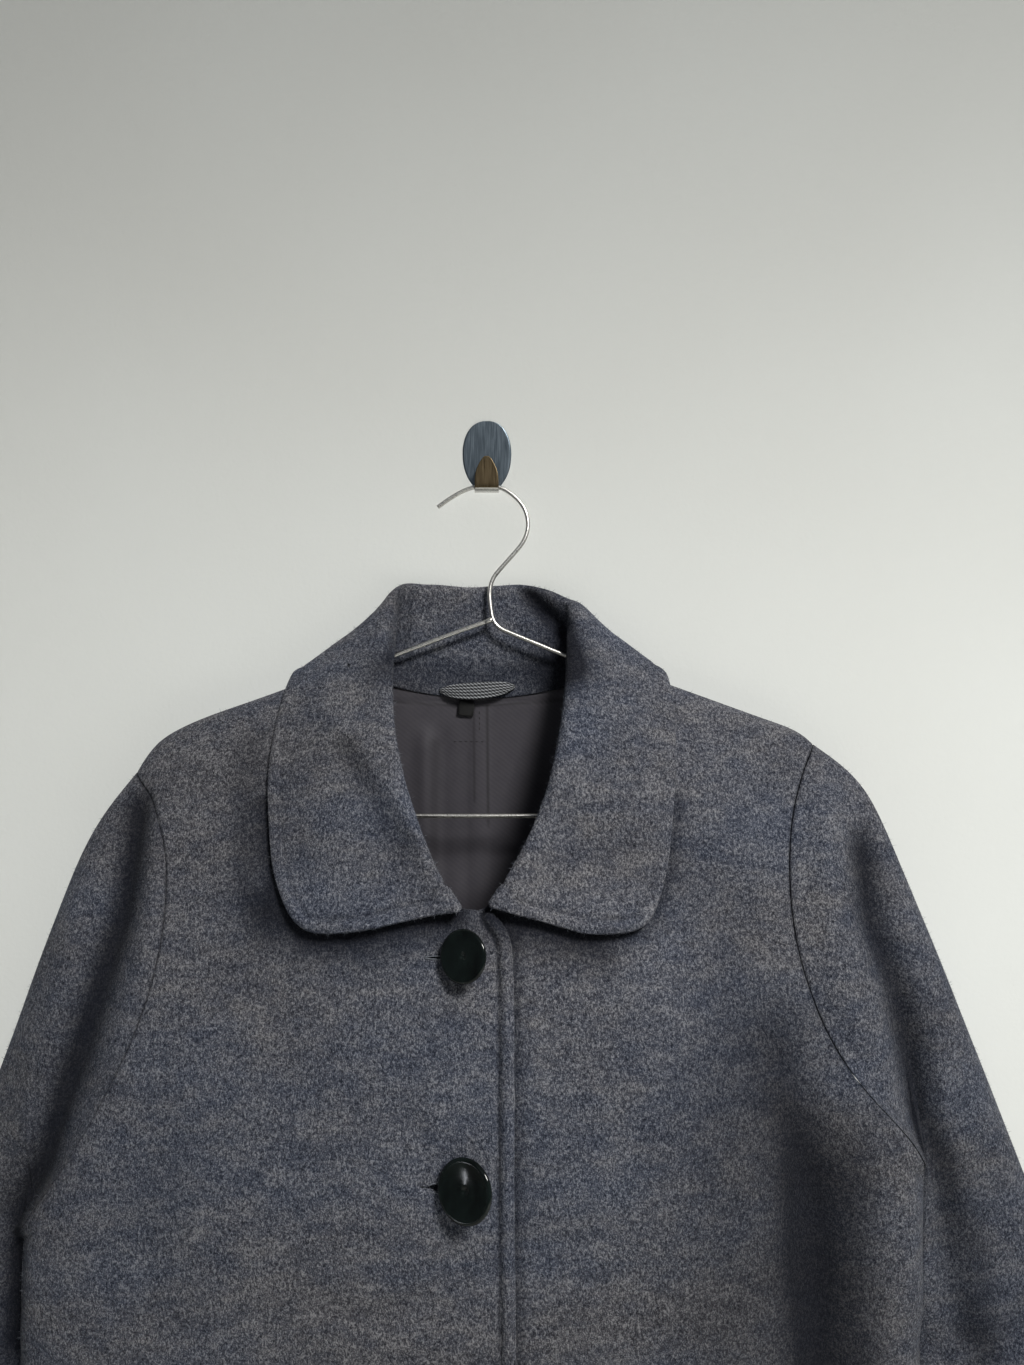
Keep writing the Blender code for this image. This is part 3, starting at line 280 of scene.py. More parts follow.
def makePlain(name):
    look = {**usualFinish, **plainLooks[name]}
    made, tree, shader = newMaterial(name)
    place = addNode(tree, "TexCoord").outputs["Object"]
    drawn = addNode(tree, "Mapping", {"Scale": look["stretch"]}, {"Vector": place})
    grain = addNode(tree, "TexNoise", {"Scale": 1000 / look["size"], "Detail": 3.0, "Roughness": 0.6},
                    {"Vector": drawn})
    colour = addNode(tree, "ValToRGB", {"ramp": ((0.3, look["dark"]), (0.7, look["pale"]))}, {0: grain})
    uneven = addNode(tree, "MapRange", {1: 0.3, 2: 0.7, 3: look["rough"] * 0.8, 4: look["rough"] * 1.2},
                     {0: grain})
    finishShader(tree, shader, colour, grain, 0.4, look["relief"],
                 {"Metallic": look["metal"], "IOR": look["ior"]})
    tree.links.new(uneven.outputs[0], shader.inputs["Roughness"])
    return made


boiledWool = makeBoiledWool()
twill = makeTwill()
knit = makeKnit()
finishes = {name: makePlain(name) for name in plainLooks}
print("materials made")

# How the cloth hangs: soft hollows (-) and ridges (+), each with its rise, its
# width and x, z along its line. A last number is the run over which it grows in at the top.
drape = {
    "front": (
        # left side of the collar: a slanting ridge with a hollow beside it
        (2.2, 9.0, ((-96, -176), (-80, -190), (-63, -214), (-43, -240))),
        (-2.6, 9.0, ((-88, -198), (-74, -213), (-57, -235), (-46, -254))),
        (-1.6, 16.0, ((-112, -190), (-118, -225), (-112, -262))),
        # right side of the collar: full beside the roll, a shallow dip low down
        (2.0, 15.0, ((64, -128), (86, -160), (98, -196), (96, -232))),
        (-2.0, 13.0, ((44, -232), (62, -250), (88, -262))),
        # forward shoulder seams
        (-1.7, 2.6, ((-178, -187.5), (-150, -179), (-127, -171), (-116, -167))),
        (-1.7, 2.6, ((172, -187), (140, -175.5), (116, -166))),
        # sleeve heads: full beside the armhole, then a long hollow
        (1.8, 8.0, ((-207, -235), (-205, -270), (-209, -330), (-222, -372))),
        (-7.0, 9.5, ((-219, -232), (-221, -262), (-225, -300), (-238, -350), (-246, -380),
                     (-258, -410), (-272, -454), (-290, -490), (-296, -570))),
        (2.0, 14.0, ((-243, -262), (-252, -310), (-266, -370), (-284, -430))),
        (3.2, 11.0, ((213, -226), (212, -300), (215, -345), (237, -387), (260, -437), (262, -582))),
        (-5.0, 10.0, ((237, -255), (239, -303), (253, -345), (262, -387), (268, -420), (281, -453),
                      (288, -503), (299, -560))),
        (2.6, 13.0, ((268, -262), (282, -320), (304, -390), (326, -460))),
        # body beside the right sleeve: a deep upright hollow
        (-7.0, 19.0, ((186, -366), (188, -404), (193, -437), (196, -478), (200, -528), (202, -582),
                      (204, -640)), 100.0),
        # chest
        (-2.4, 26.0, ((128, -262), (150, -310), (158, -360))),
        (1.8, 24.0, ((88, -330), (104, -400), (110, -470))),
        (-2.2, 24.0, ((-130, -250), (-146, -290), (-150, -330))),
        (1.6, 26.0, ((-96, -350), (-120, -420), (-140, -500))),
        (-1.8, 20.0, ((-190, -380), (-196, -440), (-190, -520))),
        # short pulls beside the buttons
        (-1.5, 7.5, ((-44, -404), (-34, -418), (-26, -434))),
        (-1.8, 8.0, ((-92, -516), (-66, -523), (-40, -512))),
        (1.3, 8.0, ((-96, -534), (-66, -540), (-36, -532))),
        (-1.4, 8.0, ((10, -470), (34, -480), (58, -478))),
        # skirt below the picture
        (-3.5, 30.0, ((-60, -640), (-66, -760), (-72, -900), (-78, -1050))),
        (3.5, 28.0, ((-205, -600), (-214, -740), (-222, -900), (-226, -1050))),
        (3.0, 26.0, ((52, -640), (58, -780), (62, -920), (66, -1050))),
        (-3.0, 22.0, ((150, -760), (158, -900), (166, -1050))),
        # elbows and lower sleeves
        (-2.6, 11.0, ((262, -560), (290, -572), (318, -566), (344, -544))),
        (2.2, 11.0, ((268, -588), (298, -600), (330, -592), (356, -568))),
        (-2.4, 11.0, ((286, -640), (320, -650), (356, -634), (388, -606))),
        (-2.2, 13.0, ((300, -700), (336, -712), (376, -690))),
        (-2.6, 11.0, ((-262, -600), (-288, -606), (-318, -590), (-346, -560))),
        (2.2, 11.0, ((-268, -628), (-298, -634), (-330, -618), (-356, -590))),
        (-2.4, 11.0, ((-282, -676), (-316, -680), (-352, -660), (-380, -632))),
        (-2.0, 13.0, ((-298, -734), (-336, -738), (-376, -712))),
    ),
    "back": (
        (3.0, 34.0, ((-120, -330), (-132, -520), (-140, -760), (-150, -1050))),
        (3.5, 38.0, ((70, -360), (82, -560), (92, -800), (100, -1050))),
        (2.4, 30.0, ((-20, -420), (-24, -640), (-30, -1050))),
        (2.2, 16.0, ((-150, -270), (-90, -292), (-10, -298), (70, -290), (140, -262))),
        (2.6, 12.0, ((262, -560), (300, -576), (344, -548))),
        (2.4, 12.0, ((286, -640), (330, -654), (386, -612))),
        (2.6, 12.0, ((-262, -600), (-300, -608), (-346, -566))),
        (2.4, 12.0, ((-282, -676), (-330, -684), (-380, -640))),
    ),
    "frontDepth": (-40.0, -58.0),      # y over which the front's folds take hold
    "backDepth": (-36.0, -20.0),
    "backTop": (-235.0, -285.0),
    "waveHeight": 0.55,                # faint unevenness all over
    # each button: how far round it the cloth lies quiet, and how far it is drawn in, over what
    "button": (30.0, 0.7, 22.0),
    # painted shade in the hollows, which catch less light in the pile: most, the depth that gives it, and the y
    # that it ends at
    "hollowShade": (0.4, 6.0, -45.0),
    # the most painted shade that any point gets
    "darkest": 0.9,
    # kinds of painted shade line: the word in the names of its pieces, and the y that it ends at
    "kinds": {"front": ("", -30.0), "body": ("Front", -42.0), "sleeve": ("Sleeve", -45.0),
              "collar": ("Collar", -60.0)},
    # painted shade where the pile lies in the dark of a fold: kind, amount, width, line. Inside means the
    # collar's part behind that y
    "dark": (
        ("front", 0.42, 19.0, ((176, -318), (179, -350), (183, -404), (188, -437), (191, -478), (193, -528),
                               (195, -640)), 60.0),
        ("front", 0.52, 17.0, ((214, -380), (223, -470), (226, -560), (226, -640)), 75.0),
        ("front", 0.4, 42.0, ((142, -310), (152, -450), (156, -640)), 90.0),
        ("sleeve", 0.5, 2.6, ((256, -404), (264, -418), (270, -445), (271, -500), (272, -640)), 24.0),
        ("front", 0.55, 13.5, ((-221, -240), (-222, -285), (-226, -305), (-243, -352), (-257, -404),
                               (-272, -452), (-292, -480), (-300, -600))),
        ("front", 0.5, 12.0, ((237, -262), (241, -303), (255, -345), (264, -387), (271, -420), (286, -455),
                              (298, -482), (309, -518), (314, -580))),
        ("body", 0.4, 11.0, ((-147, -196), (-150, -240), (-146, -282), (-134, -306))),
        ("body", 0.52, 14.0, ((-128, -292), (-108, -313), (-70, -313), (-20, -300))),
        ("body", 0.56, 12.0, ((10, -298), (40, -310), (70, -317))),
        ("collar", 0.32, 9.0, ((-86, -192), (-76, -214), (-62, -236), (-50, -254))),
        ("inside", 0.72, 6.5, ((29, -98), (39, -107), (48, -117), (54, -128), (56, -146))),
        ("inside", 0.46, 17.0, ((40, -100), (46, -125), (46, -150))),
        ("inside", 0.58, 14.0, ((-66, -146), (-4, -152), (58, -144))),
        ("inside", 0.4, 4.0, ((-56, -94), (-60, -115), (-62, -140))),
    ),
    "darkSkirt": (-700.0, -600.0),     # all of them fade below the picture
}

# centre x, y, z, turn and size of each button
buttonSpots = (
    (-10.8, -107.53, -313.3, 30.0, 0.86),
    (-9.3, -115.7, -444.5, 30.0, 1.0),
    (-9.3, -115.7, -575.7, 24.0, 1.0),
    (-9.8, -115.7, -706.9, 27.0, 1.0),
)


# distance of points (x, z) from a line through given spots
def distanceTo(line, x, z):
    nearest = np.full(x.shape, 1e9)
    for (ax, az), (bx, bz) in zip(line, line[1:]):
        spanX, spanZ = bx - ax, bz - az
        share = np.clip(((x - ax) * spanX + (z - az) * spanZ) / (spanX ** 2 + spanZ ** 2), 0.0, 1.0)
        nearest = np.minimum(nearest, np.hypot(x - ax - share * spanX, z - az - share * spanZ))
    return nearest


# a fold that starts from nothing and is full at its line's first spot
def grow(line, run, z):
    return 1.0 - smoothStep(line[0][1] - run[0], line[0][1], z) if run else 1.0


# how far each point moves along y, one field for all cloth so that the seams stay shut; it adds painted shade
# too
def hang(places, shade, pieceName):
    x, y, z = places.T
    front = "Back" not in pieceName
    kinds = {kind: (y < end) * (word in pieceName) * front for kind, (word, end) in drape["kinds"].items()}
    kinds["inside"] = (y >= drape["kinds"]["collar"][1]) * ("Collar" in pieceName)
    forward = np.zeros(len(x))
    for rise, width, line, *run in drape["front"]:
        forward -= rise * bell(distanceTo(line, x, z), width) * grow(line, run, z)
    # waves of 107 to 270 mm
    wave = np.sin(x / 31.0 + 1.3) * np.sin(z / 43.0 + 0.4) + 0.6 * np.sin(x / 17.0 - z / 23.0)
    forward += drape["waveHeight"] * wave
    rest, pull, reach = drape["button"]
    for spotX, _, spotZ, _, _ in buttonSpots:
        away = np.hypot(x - spotX, z - spotZ)
        forward *= 1.0 - np.exp(-(away / rest) ** 4)
        forward += pull * bell(away, reach)
    # painted shade: the pile is darkened in the hollows and along the dark fold lines
    most, depth, end = drape["hollowShade"]
    shade += most * np.clip(forward / depth, 0.0, 1.0) * (y < end) * front
    for kind, amount, width, line, *run in drape["dark"]:
        seen = smoothStep(*drape["darkSkirt"], z) * kinds[kind] * grow(line, run, z)
        shade += amount * seen * bell(distanceTo(line, x, z), width)
    rear = np.zeros(len(x))
    for rise, width, line in drape["back"]:
        rear -= rise * bell(distanceTo(line, x, z), width)
    rear *= smoothStep(*drape["backTop"], z)
    return forward * smoothStep(*drape["frontDepth"], y) + rear * smoothStep(*drape["backDepth"], y)


coat = {
    "fine": 3, "plain": 2,          # subdivision levels of what the picture shows and what it doesn't
    "seamHold": 0.78,               # edge crease at seams, and at the soft free edges
    "softHold": 0.33,
    "rimHold": 0.4,
    "flatAngle": 35, "shapeAngle": 80, "edgeAngle": 48,     # degrees, for cells and for their edges
    "acrossWall": 3.6, "samples": 24,                       # spots along each edge that is longer
    "wallGap": -0.4,
    # fronts and back meet at the side seams: y and width of the seam, the z that it starts
    # between, and how far each piece's edge reaches along y
    "sideY": -70.0, "sideWidth": 6.0, "sideTop": (-520.0, -460.0),
    "sideClose": {"coatBack": -1.5, "coatFrontRight": 1.2, "coatFrontLeft": 1.2},
    "middleX": -6.0, "sideX": 95.0, "hemZ": -1046.0, "lapX": 5.0, "lapTop": -292.0,
    "armholeX": 300.0, "armholeZ": -480.0,
    "collarReach": 7.5,
    "collarEdge": ((14, -289), (60, -303.5), (95, -301), (110, -274), (115, -246), (118.5, -219),
                   (120.5, -195), (120.5, -174), (118, -148.5), (104, -160), (76, -173), (36, -178),
                   (-4, -179), (-44, -178), (-85, -173), (-113, -161), (-127, -150), (-131.5, -175),
                   (-135, -197), (-135.5, -220), (-132.5, -248), (-126, -277), (-106, -303),
                   (-70, -300.5), (-20, -289)),
}


def onCollarEdge(place):
    away = distanceTo(coat["collarEdge"], np.array([place.x]), np.array([place.z]))
    return away[0] < coat["collarReach"]


def onFrontEdge(place):
    return place.x > coat["lapX"] and coat["hemZ"] < place.z < coat["lapTop"]


# armholes, shoulders and sides, but not the hem, the neckline or the front edges
def onBodySeam(place):
    return abs(place.x - coat["middleX"]) > coat["sideX"] and place.z > coat["hemZ"]


def onArmhole(place):
    return abs(place.x) < coat["armholeX"] and place.z > coat["armholeZ"]


# A finer copy of a node: its mesh merged and its edges rounded by a subdivision.
# rim tells which free edges are topstitched; splits cuts the cells beside them, ring by ring.
# It also gives spots along those edges and along the seams.
def finerCopy(nodeName, pieceName, levels, edgeHold, rim=None, splits=(), seam=None):
    mesh = nodes[nodeName].data.copy()
    mesh.attributes.remove(mesh.attributes["custom_normal"])
    bm = bmesh.new()
    bm.from_mesh(mesh)
    bmesh.ops.remove_doubles(bm, verts=bm.verts, dist=1e-6)
    bmesh.ops.join_triangles(bm, faces=bm.faces, angle_face_threshold=math.radians(coat["flatAngle"]),
                             angle_shape_threshold=math.radians(coat["shapeAngle"]))
    for face in bm.faces:
        face.smooth = True
        face.material_index = 0
    hold = bm.edges.layers.float.get("crease_edge") or bm.edges.layers.float.new("crease_edge")
    rimVerts, rimEdges, seamEdges = set(), [], []
    for edge in bm.edges:
        edge.smooth = True
        if len(edge.link_faces) == 2 and edge.calc_face_angle(0.0) > math.radians(coat["edgeAngle"]):
            edge[hold] = edgeHold
            if rim and all(rim(vert.co / mm) for vert in edge.verts):
                edge[hold] = min(edgeHold, coat["rimHold"])
                rimVerts.update(edge.verts)
                rimEdges.append(edge)
            elif seam and all(seam(vert.co / mm) for vert in edge.verts):
                seamEdges.append(edge)
    samples, seamSamples = [], []
    count = coat["samples"]
    for edges, found in ((rimEdges, samples), (seamEdges, seamSamples)):
        for edge in edges:
            a, b = (vert.co / mm for vert in edge.verts)
            if (a - b).length > coat["acrossWall"]:
                found += [a.lerp(b, i / count) for i in range(count)]
    done, ring, beside = set(rimVerts), set(rimVerts), []
    for cuts in splits:
        found = [edge for edge in bm.edges
                 if len(ring & set(edge.verts)) == 1 and len(done & set(edge.verts)) == 1]
        beside.append((found, cuts))
        ring = {vert for edge in found for vert in edge.verts} - done
        done |= ring
    for found, cuts in beside:
        bmesh.ops.subdivide_edges(bm, edges=[edge for edge in found if edge.is_valid], cuts=cuts,
                                  use_grid_fill=True)
    bm.to_mesh(mesh)
    bm.free()
    thing = addThing(pieceName, mesh)
    finer = thing.modifiers.new("rounding", "SUBSURF")
    finer.levels = finer.render_levels = levels
    finer.boundary_smooth = "PRESERVE_CORNERS"
    made = evaluatedMesh(thing)
    thing.modifiers.clear()
    thing.data = made
    made.name = pieceName
    return thing, samples, seamSamples


# A cloth piece: the finer copy, its slits drawn together, its edge stitched down, then hung
def clothFrom(nodeName, pieceName, levels, edgeHold, rim=None, splits=(), slits=(), seam=None,
              extra=None):
    thing, samples, seamSamples = finerCopy(nodeName, pieceName, levels, edgeHold, rim, splits, seam)
    mesh = thing.data
    places, outward = readAll(mesh.vertices, "co") / mm, readAll(mesh.vertices, "normal")
    for height, openness in slits:
        places = closeSlit(places, height, openness)
    reach = coat["sideClose"].get(pieceName, 0.0) * (1.0 - smoothStep(*coat["sideTop"], places[:, 2]))
    places[:, 1] += reach * bell(places[:, 1] - coat["sideY"], coat["sideWidth"])
    edgeSamples[pieceName] = [Vector((spot.x, 0.0, spot.z)) for spot in samples]
    moved, shade = stitchDown(places, samples, seamSamples, pieceName == "coatCollar")
    # painted shadow beside the edges of the pieces that lie over this one
    shade += underShade(pieceName, places)
    places += outward * moved[:, None]
    places[:, 1] += hang(places, shade, pieceName)
    if extra:
        places = extra(places, outward)
    places[:, 1] = np.minimum(places[:, 1], coat["wallGap"])
    # the painted shade is kept on the points, for the material to darken the pile
    layer = mesh.attributes.new("sewnLine", "FLOAT", "POINT")
    layer.data.foreach_set("value", np.clip(shade, 0.0, drape["darkest"]).astype(np.float32))
    mesh.vertices.foreach_set("co", (places * mm).ravel())
    mesh.update()
    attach(thing, "root")
    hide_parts(nodeName)
    print("cloth", pieceName, sum(len(face.vertices) - 2 for face in mesh.polygons), "triangles")
    return thing


# The topstitched line: a groove a set way in from the edge, the cloth full on both sides.
# A plain seam: the cloth sinks where two pieces meet. Both are darkened with painted shade.
topstitch = {
    "inset": 8.6, "depth": 1.25, "width": 1.5, "puff": 1.7, "crest": 3.8, "round": 3.0, "rise": 2.4,
    "shade": 0.5, "uneven": 0.3,
    "collar": 0.62, "collarSide": 0.25,         # how much of it shows on the collar's edges
    "sideX": (92.0, 112.0), "sideZ": (-298.0, -280.0),      # where the collar's sides begin
    "seamDepth": 0.2, "seamWidth": 1.6, "seamShade": 0.5, "seamLine": 1.0,
    # the armhole seam's painted shade is lost at its lower front in the sleeve's fold: z over which, how much,
    # in front of what y
    "seamFade": (-425.0, -372.0), "seamLost": 0.85, "seamFront": -40.0,
}
# painted shadow: cloth that lies under an edge is darkened beside it: piece, amount, width in mm
underEdgeShadow = {"coatFrontRight": (("coatCollar", 0.68, 9.0),),
             "coatFrontLeft": (("coatCollar", 0.68, 9.0), ("coatFrontRight", 0.6, 5.5))}
# the painted shadow lies only in front of this y, and is less under the collar's right side, which faces the
# light
underLight = {"front": -60.0, "less": 0.2, "x": (84.0, 112.0)}
edgeSamples = {}


def underShade(pieceName, places):
    shade = np.zeros(len(places))
    flat = places * (1.0, 0.0, 1.0)
    for edgeName, amount, width in underEdgeShadow.get(pieceName, ()):
        away = nearestAway(flat, edgeSamples[edgeName])
        shade += amount * bell(away, width) * (places[:, 1] < underLight["front"])
    return shade * (1.0 - underLight["less"] * smoothStep(*underLight["x"], places[:, 0]))


def nearestAway(places, samples):
    tree = KDTree(len(samples))
    for index, spot in enumerate(samples):
        tree.insert(spot, index)
    tree.balance()
    return np.array([tree.find(place)[2] for place in places])


def stitchDown(places, samples, seamSamples, onCollar):
    x, y, z = places.T
    moved, shade = np.zeros(len(x)), np.zeros(len(x))
    sewing = topstitch
    if samples:
        away = nearestAway(places, samples)
        uneven = 1.0 + sewing["uneven"] * np.sin(x / 5.3 + z / 3.7) * np.sin(z / 8.9)
        onSide = onCollar * smoothStep(*sewing["sideX"], np.abs(x - coat["middleX"]))
        onSide = onSide * smoothStep(*sewing["sideZ"], z)
        firm = 1.0 - (1.0 - sewing["collar"]) * onCollar
        firm -= (sewing["collar"] - sewing["collarSide"]) * onSide
        groove = bell(away - sewing["inset"], sewing["width"]) * uneven * firm
        swell = bell(away - sewing["crest"], sewing["round"]) * smoothStep(0.0, sewing["rise"], away)
        moved += sewing["puff"] * swell * firm - sewing["depth"] * groove
        # painted shade in the stitched groove
        shade += sewing["shade"] * groove
    if seamSamples:
        away = nearestAway(places, seamSamples)
        lost = sewing["seamLost"] * (1.0 - smoothStep(*sewing["seamFade"], z)) * (y < sewing["seamFront"])
        moved -= sewing["seamDepth"] * bell(away, sewing["seamWidth"])
        # painted shade along the seam
        shade += sewing["seamShade"] * (1.0 - lost) * bell(away, sewing["seamLine"])
    return moved, shade


# A buttonhole: the open cell of the cloth drawn together to a narrow slit, which gapes
# beside the button's shank and closes towards its far end
buttonhole = {"left": -33.0, "right": -5.0, "ends": (1.0, 8.0), "front": -90.0,
              "half": 1.9, "narrow": 0.3, "open": 1.8, "gape": 6.5, "reach": (3.6, 9.0), "keep": 0.78,
              "openness": (0.25, 1.4, 1.1, 1.1), "sink": 3.4, "sinkX": (-24.0, -12.0), "sinkWidth": 22.0}


def sinkOf(x):
    return buttonhole["sink"] * (1.0 - smoothStep(*buttonhole["sinkX"], x))


def closeSlit(places, height, openness):
    look = buttonhole
    x, z = places[:, 0], places[:, 2] - height
    away = np.abs(z)
    inside = 1.0 - smoothStep(*look["reach"], away)
    near, far = look["ends"]
    beside = smoothStep(look["left"] - far, look["left"] - near, x)
    beside *= 1.0 - smoothStep(look["right"] + near, look["right"] + far, x)
    front = places[:, 1] < look["front"]
    gape = smoothStep(look["left"], look["left"] + look["gape"], x)
    keep = look["narrow"] + (look["open"] - look["narrow"]) * gape * openness
    shift = (look["half"] - keep) * inside * beside * front
    moved = places.copy()
    moved[:, 2] -= np.sign(z) * np.minimum(shift, away * look["keep"])
    moved[:, 2] -= sinkOf(x) * bell(away, look["sinkWidth"]) * beside * front
    return moved


# The collar's inside is sewn over the back neck edge; it folds where it turns to the front,
# its top dips in the middle and its lower edges lift off the chest
collarForm = {
    "middleX": -4.0,
    # the neckline's z and y, and how they curve away from the middle
    "neckZ": (-162.0, 0.00245), "neckY": (-6.2, 0.00133), "neckHalf": 84.0, "standY": (-50.0, -34.0),
    "neckDown": 8.0, "neckOut": 4.4, "neckReach": 14.0,
    "creases": ((5.0, 5.0, ((-53, -92), (-56, -115), (-59, -140))),
                (7.0, 6.0, ((26, -97), (39, -108), (53, -120)))),
    "creaseZ": (-150.0, -128.0), "creaseY": (-62.0, -44.0),
    "lift": 3.4, "liftZ": (-272.0, -300.0), "topZ": (-112.0, -94.0),
    "humps": ((5.5, -56.0, 11.0), (1.5, -38.0, 12.0), (-1.2, -10.0, 12.0), (1.4, 24.0, 11.0),
              (-3.0, 56.0, 11.0)),
}


def shapeCollar(places, outward):
    x, y, z = places.T.copy()
    form = collarForm
    side = x - form["middleX"]
    (neckZ, curveZ), (neckY, curveY) = form["neckZ"], form["neckY"]
    stand = smoothStep(*form["standY"], y) * (y < neckY - curveY * side ** 2)
    sewn = stand * (1.0 - smoothStep(0.0, form["neckReach"], z - (neckZ + curveZ * side ** 2)))
    sewn *= np.abs(side) < form["neckHalf"]
    places[:, 2] -= form["neckDown"] * sewn
    places[:, 1] -= form["neckOut"] * sewn
    upper = smoothStep(*form["creaseZ"], z) * smoothStep(*form["creaseY"], y)
    for depth, width, line in form["creases"]:
        places[:, 1] += upper * depth * bell(distanceTo(line, x, z), width)
    places[:, 1] -= form["lift"] * smoothStep(*form["liftZ"], z)
    top = smoothStep(*form["topZ"], z)
    for rise, middle, width in form["humps"]:
        places[:, 2] += top * rise * bell(x - middle, width)
    return places


collar = clothFrom("collar", "coatCollar", coat["fine"], coat["softHold"], onCollarEdge, (3,),
                   extra=shapeCollar)
slits = [(spot[2], openness) for spot, openness in zip(buttonSpots, buttonhole["openness"])]
frontRight = clothFrom("front_right", "coatFrontRight", coat["fine"], coat["seamHold"], onFrontEdge,
                       (3, 4), slits, onBodySeam)
frontLeft = clothFrom("front_left", "coatFrontLeft", coat["fine"], coat["seamHold"], seam=onBodySeam)
sleeveRight = clothFrom("sleeve_right", "coatSleeveRight", coat["fine"], coat["seamHold"], seam=onArmhole)
sleeveLeft = clothFrom("sleeve_left", "coatSleeveLeft", coat["fine"], coat["seamHold"], seam=onArmhole)
back = clothFrom("back", "coatBack", coat["plain"], coat["seamHold"], seam=onBodySeam)
for piece in (collar, frontRight, frontLeft, sleeveRight, sleeveLeft, back):
    dress(piece, boiledWool)

# Loose fibres standing off the felted face, each one a fine blade. They root a little way in,
# spread over their cell, and none reaches into the wall.
nap = {"length": (1.2, 3.6), "width": 0.26, "lean": 0.8, "rooted": 0.25, "spread": 0.4, "wallGap": -0.05,
       "seed": 11, "colours": ((0.35, "#3a3f4b"), (0.65, "#8c919b")), "change": 700.0,
       # mm² of cloth to one fibre
       "each": ((collar, 6.0), (frontRight, 22.0), (frontLeft, 22.0), (sleeveRight, 11.0),
                (sleeveLeft, 11.0), (back, 40.0))}


def makeFibre():
    made, tree, shader = newMaterial("looseWoolFibre")
    place = addNode(tree, "TexCoord").outputs["Object"]
    each = addNode(tree, "TexNoise", {"Scale": nap["change"]}, {"Vector": place})
    colour = addNode(tree, "ValToRGB", {"ramp": nap["colours"]}, {0: each})
    # the fibres are darkened by their cloth's painted shade
    setNode(tree, shader, {"Roughness": 0.9, "Specular IOR Level": 0.2},
            {"Base Color": darkenByPaintedShade(tree, colour, boiledWoolLook["sewn"])})
    return made


def addNap(cloth, cell, finish, draws):
    faces = cloth.data.polygons
    areas, middles, normals = readAll(faces, "area", 1), readAll(faces, "center") / mm, readAll(faces, "normal")
    count = int(areas.sum() * 1e6 / cell)
    chosen = draws.choice(len(faces), count, p=areas / areas.sum())
    normals = normals[chosen]
    spread = draws.uniform(-1.0, 1.0, size=(count, 3))
    spread -= normals * (spread * normals).sum(1)[:, None]
    roots = middles[chosen] + spread * (np.sqrt(areas[chosen]) / mm * nap["spread"])[:, None]
    way = normals + draws.normal(size=(count, 3)) * nap["lean"]
    way /= np.linalg.norm(way, axis=1)[:, None]
    side = np.cross(way, draws.normal(size=(count, 3)))
    side *= nap["width"] / 2 / np.linalg.norm(side, axis=1)[:, None]
    roots -= normals * nap["rooted"]
    tips = roots + way * draws.uniform(*nap["length"], count)[:, None]
    spots = np.stack((roots - side, roots + side, tips), axis=1).reshape(-1, 3)
    spots[:, 1] = np.minimum(spots[:, 1], nap["wallGap"])
    mesh = bpy.data.meshes.new(cloth.name + "Nap")
    mesh.from_pydata(spots * mm, [], np.arange(count * 3).reshape(-1, 3))
    # each fibre takes the painted shade of its cloth
    shade = readAll(cloth.data.attributes["sewnLine"].data, "value", 1)
    beside = np.array([face.vertices[0] for face in faces])
    layer = mesh.attributes.new("sewnLine", "FLOAT", "POINT")
    layer.data.foreach_set("value", np.repeat(shade[beside[chosen]], 3))
    addPiece(mesh.name, mesh, finish)
    print("nap", mesh.name, count, "fibres")


draws = np.random.default_rng(nap["seed"])
fibre = makeFibre()
for piece, cell in nap["each"]:
    addNap(piece, cell, fibre, draws)

liningSewingAndShade = {
    "fold": (-36.0, 3.6, 7.0),              # x, depth and width of the soft upright fold
    "foldSides": (5.0, 4.0),                # from its middle to its hollow and to its ridge
    "foldTop": (-178.0, -200.0),
    "seamZ": -167.6, "seamDepth": 0.5, "seamWidth": 1.4,        # seam below the neck facing
    # stitches of the pleat and of the bar across it, each line from x, z to x, z
    "stitchLines": (((-4.7, -174.0), (-4.7, -185.5)), ((-22.0, -194.6), (-2.0, -194.6))),
    "stitch": 2.4, "gap": 1.2, "thick": 0.55, "rayFrom": -250.0,
    # painted shade of the fold under the neck, both edges of the pleat and the soft upright fold: amount,
    # width, line
    "lines": ((0.5, 0.8, ((-82, -166), (-40, -169.5), (-4, -170.5), (34, -168.5), (74, -164))),
              (0.4, 0.9, ((-8.5, -171), (-8.0, -235))), (0.55, 1.0, ((0.5, -171), (1.2, -250))),
              (0.35, 4.0, ((-34, -196), (-35, -240), (-35, -300)))),
}


def hangLining(places, outward):
    x, z = places[:, 0], places[:, 2]
    foldX, depth, width = liningSewingAndShade["fold"]
    hollow, ridge = liningSewingAndShade["foldSides"]
    low = smoothStep(*liningSewingAndShade["foldTop"], z)
    places[:, 1] += low * depth * 0.5 * bell(x - foldX - hollow, width)
    places[:, 1] -= low * depth * bell(x - foldX + ridge, width)
    places[:, 1] += liningSewingAndShade["seamDepth"] * bell(z - liningSewingAndShade["seamZ"], liningSewingAndShade["seamWidth"])
    return places


lining = clothFrom("lining_back", "coatLining", 3, 0.4, extra=hangLining)
spots = readAll(lining.data.vertices, "co") / mm
# painted shade along the lining's folds, pleat and neck seam
shade = sum(amount * bell(distanceTo(line, spots[:, 0], spots[:, 2]), width)
            for amount, width, line in liningSewingAndShade["lines"])
lining.data.attributes["sewnLine"].data.foreach_set("value", shade.astype(np.float32))
dress(lining, twill)


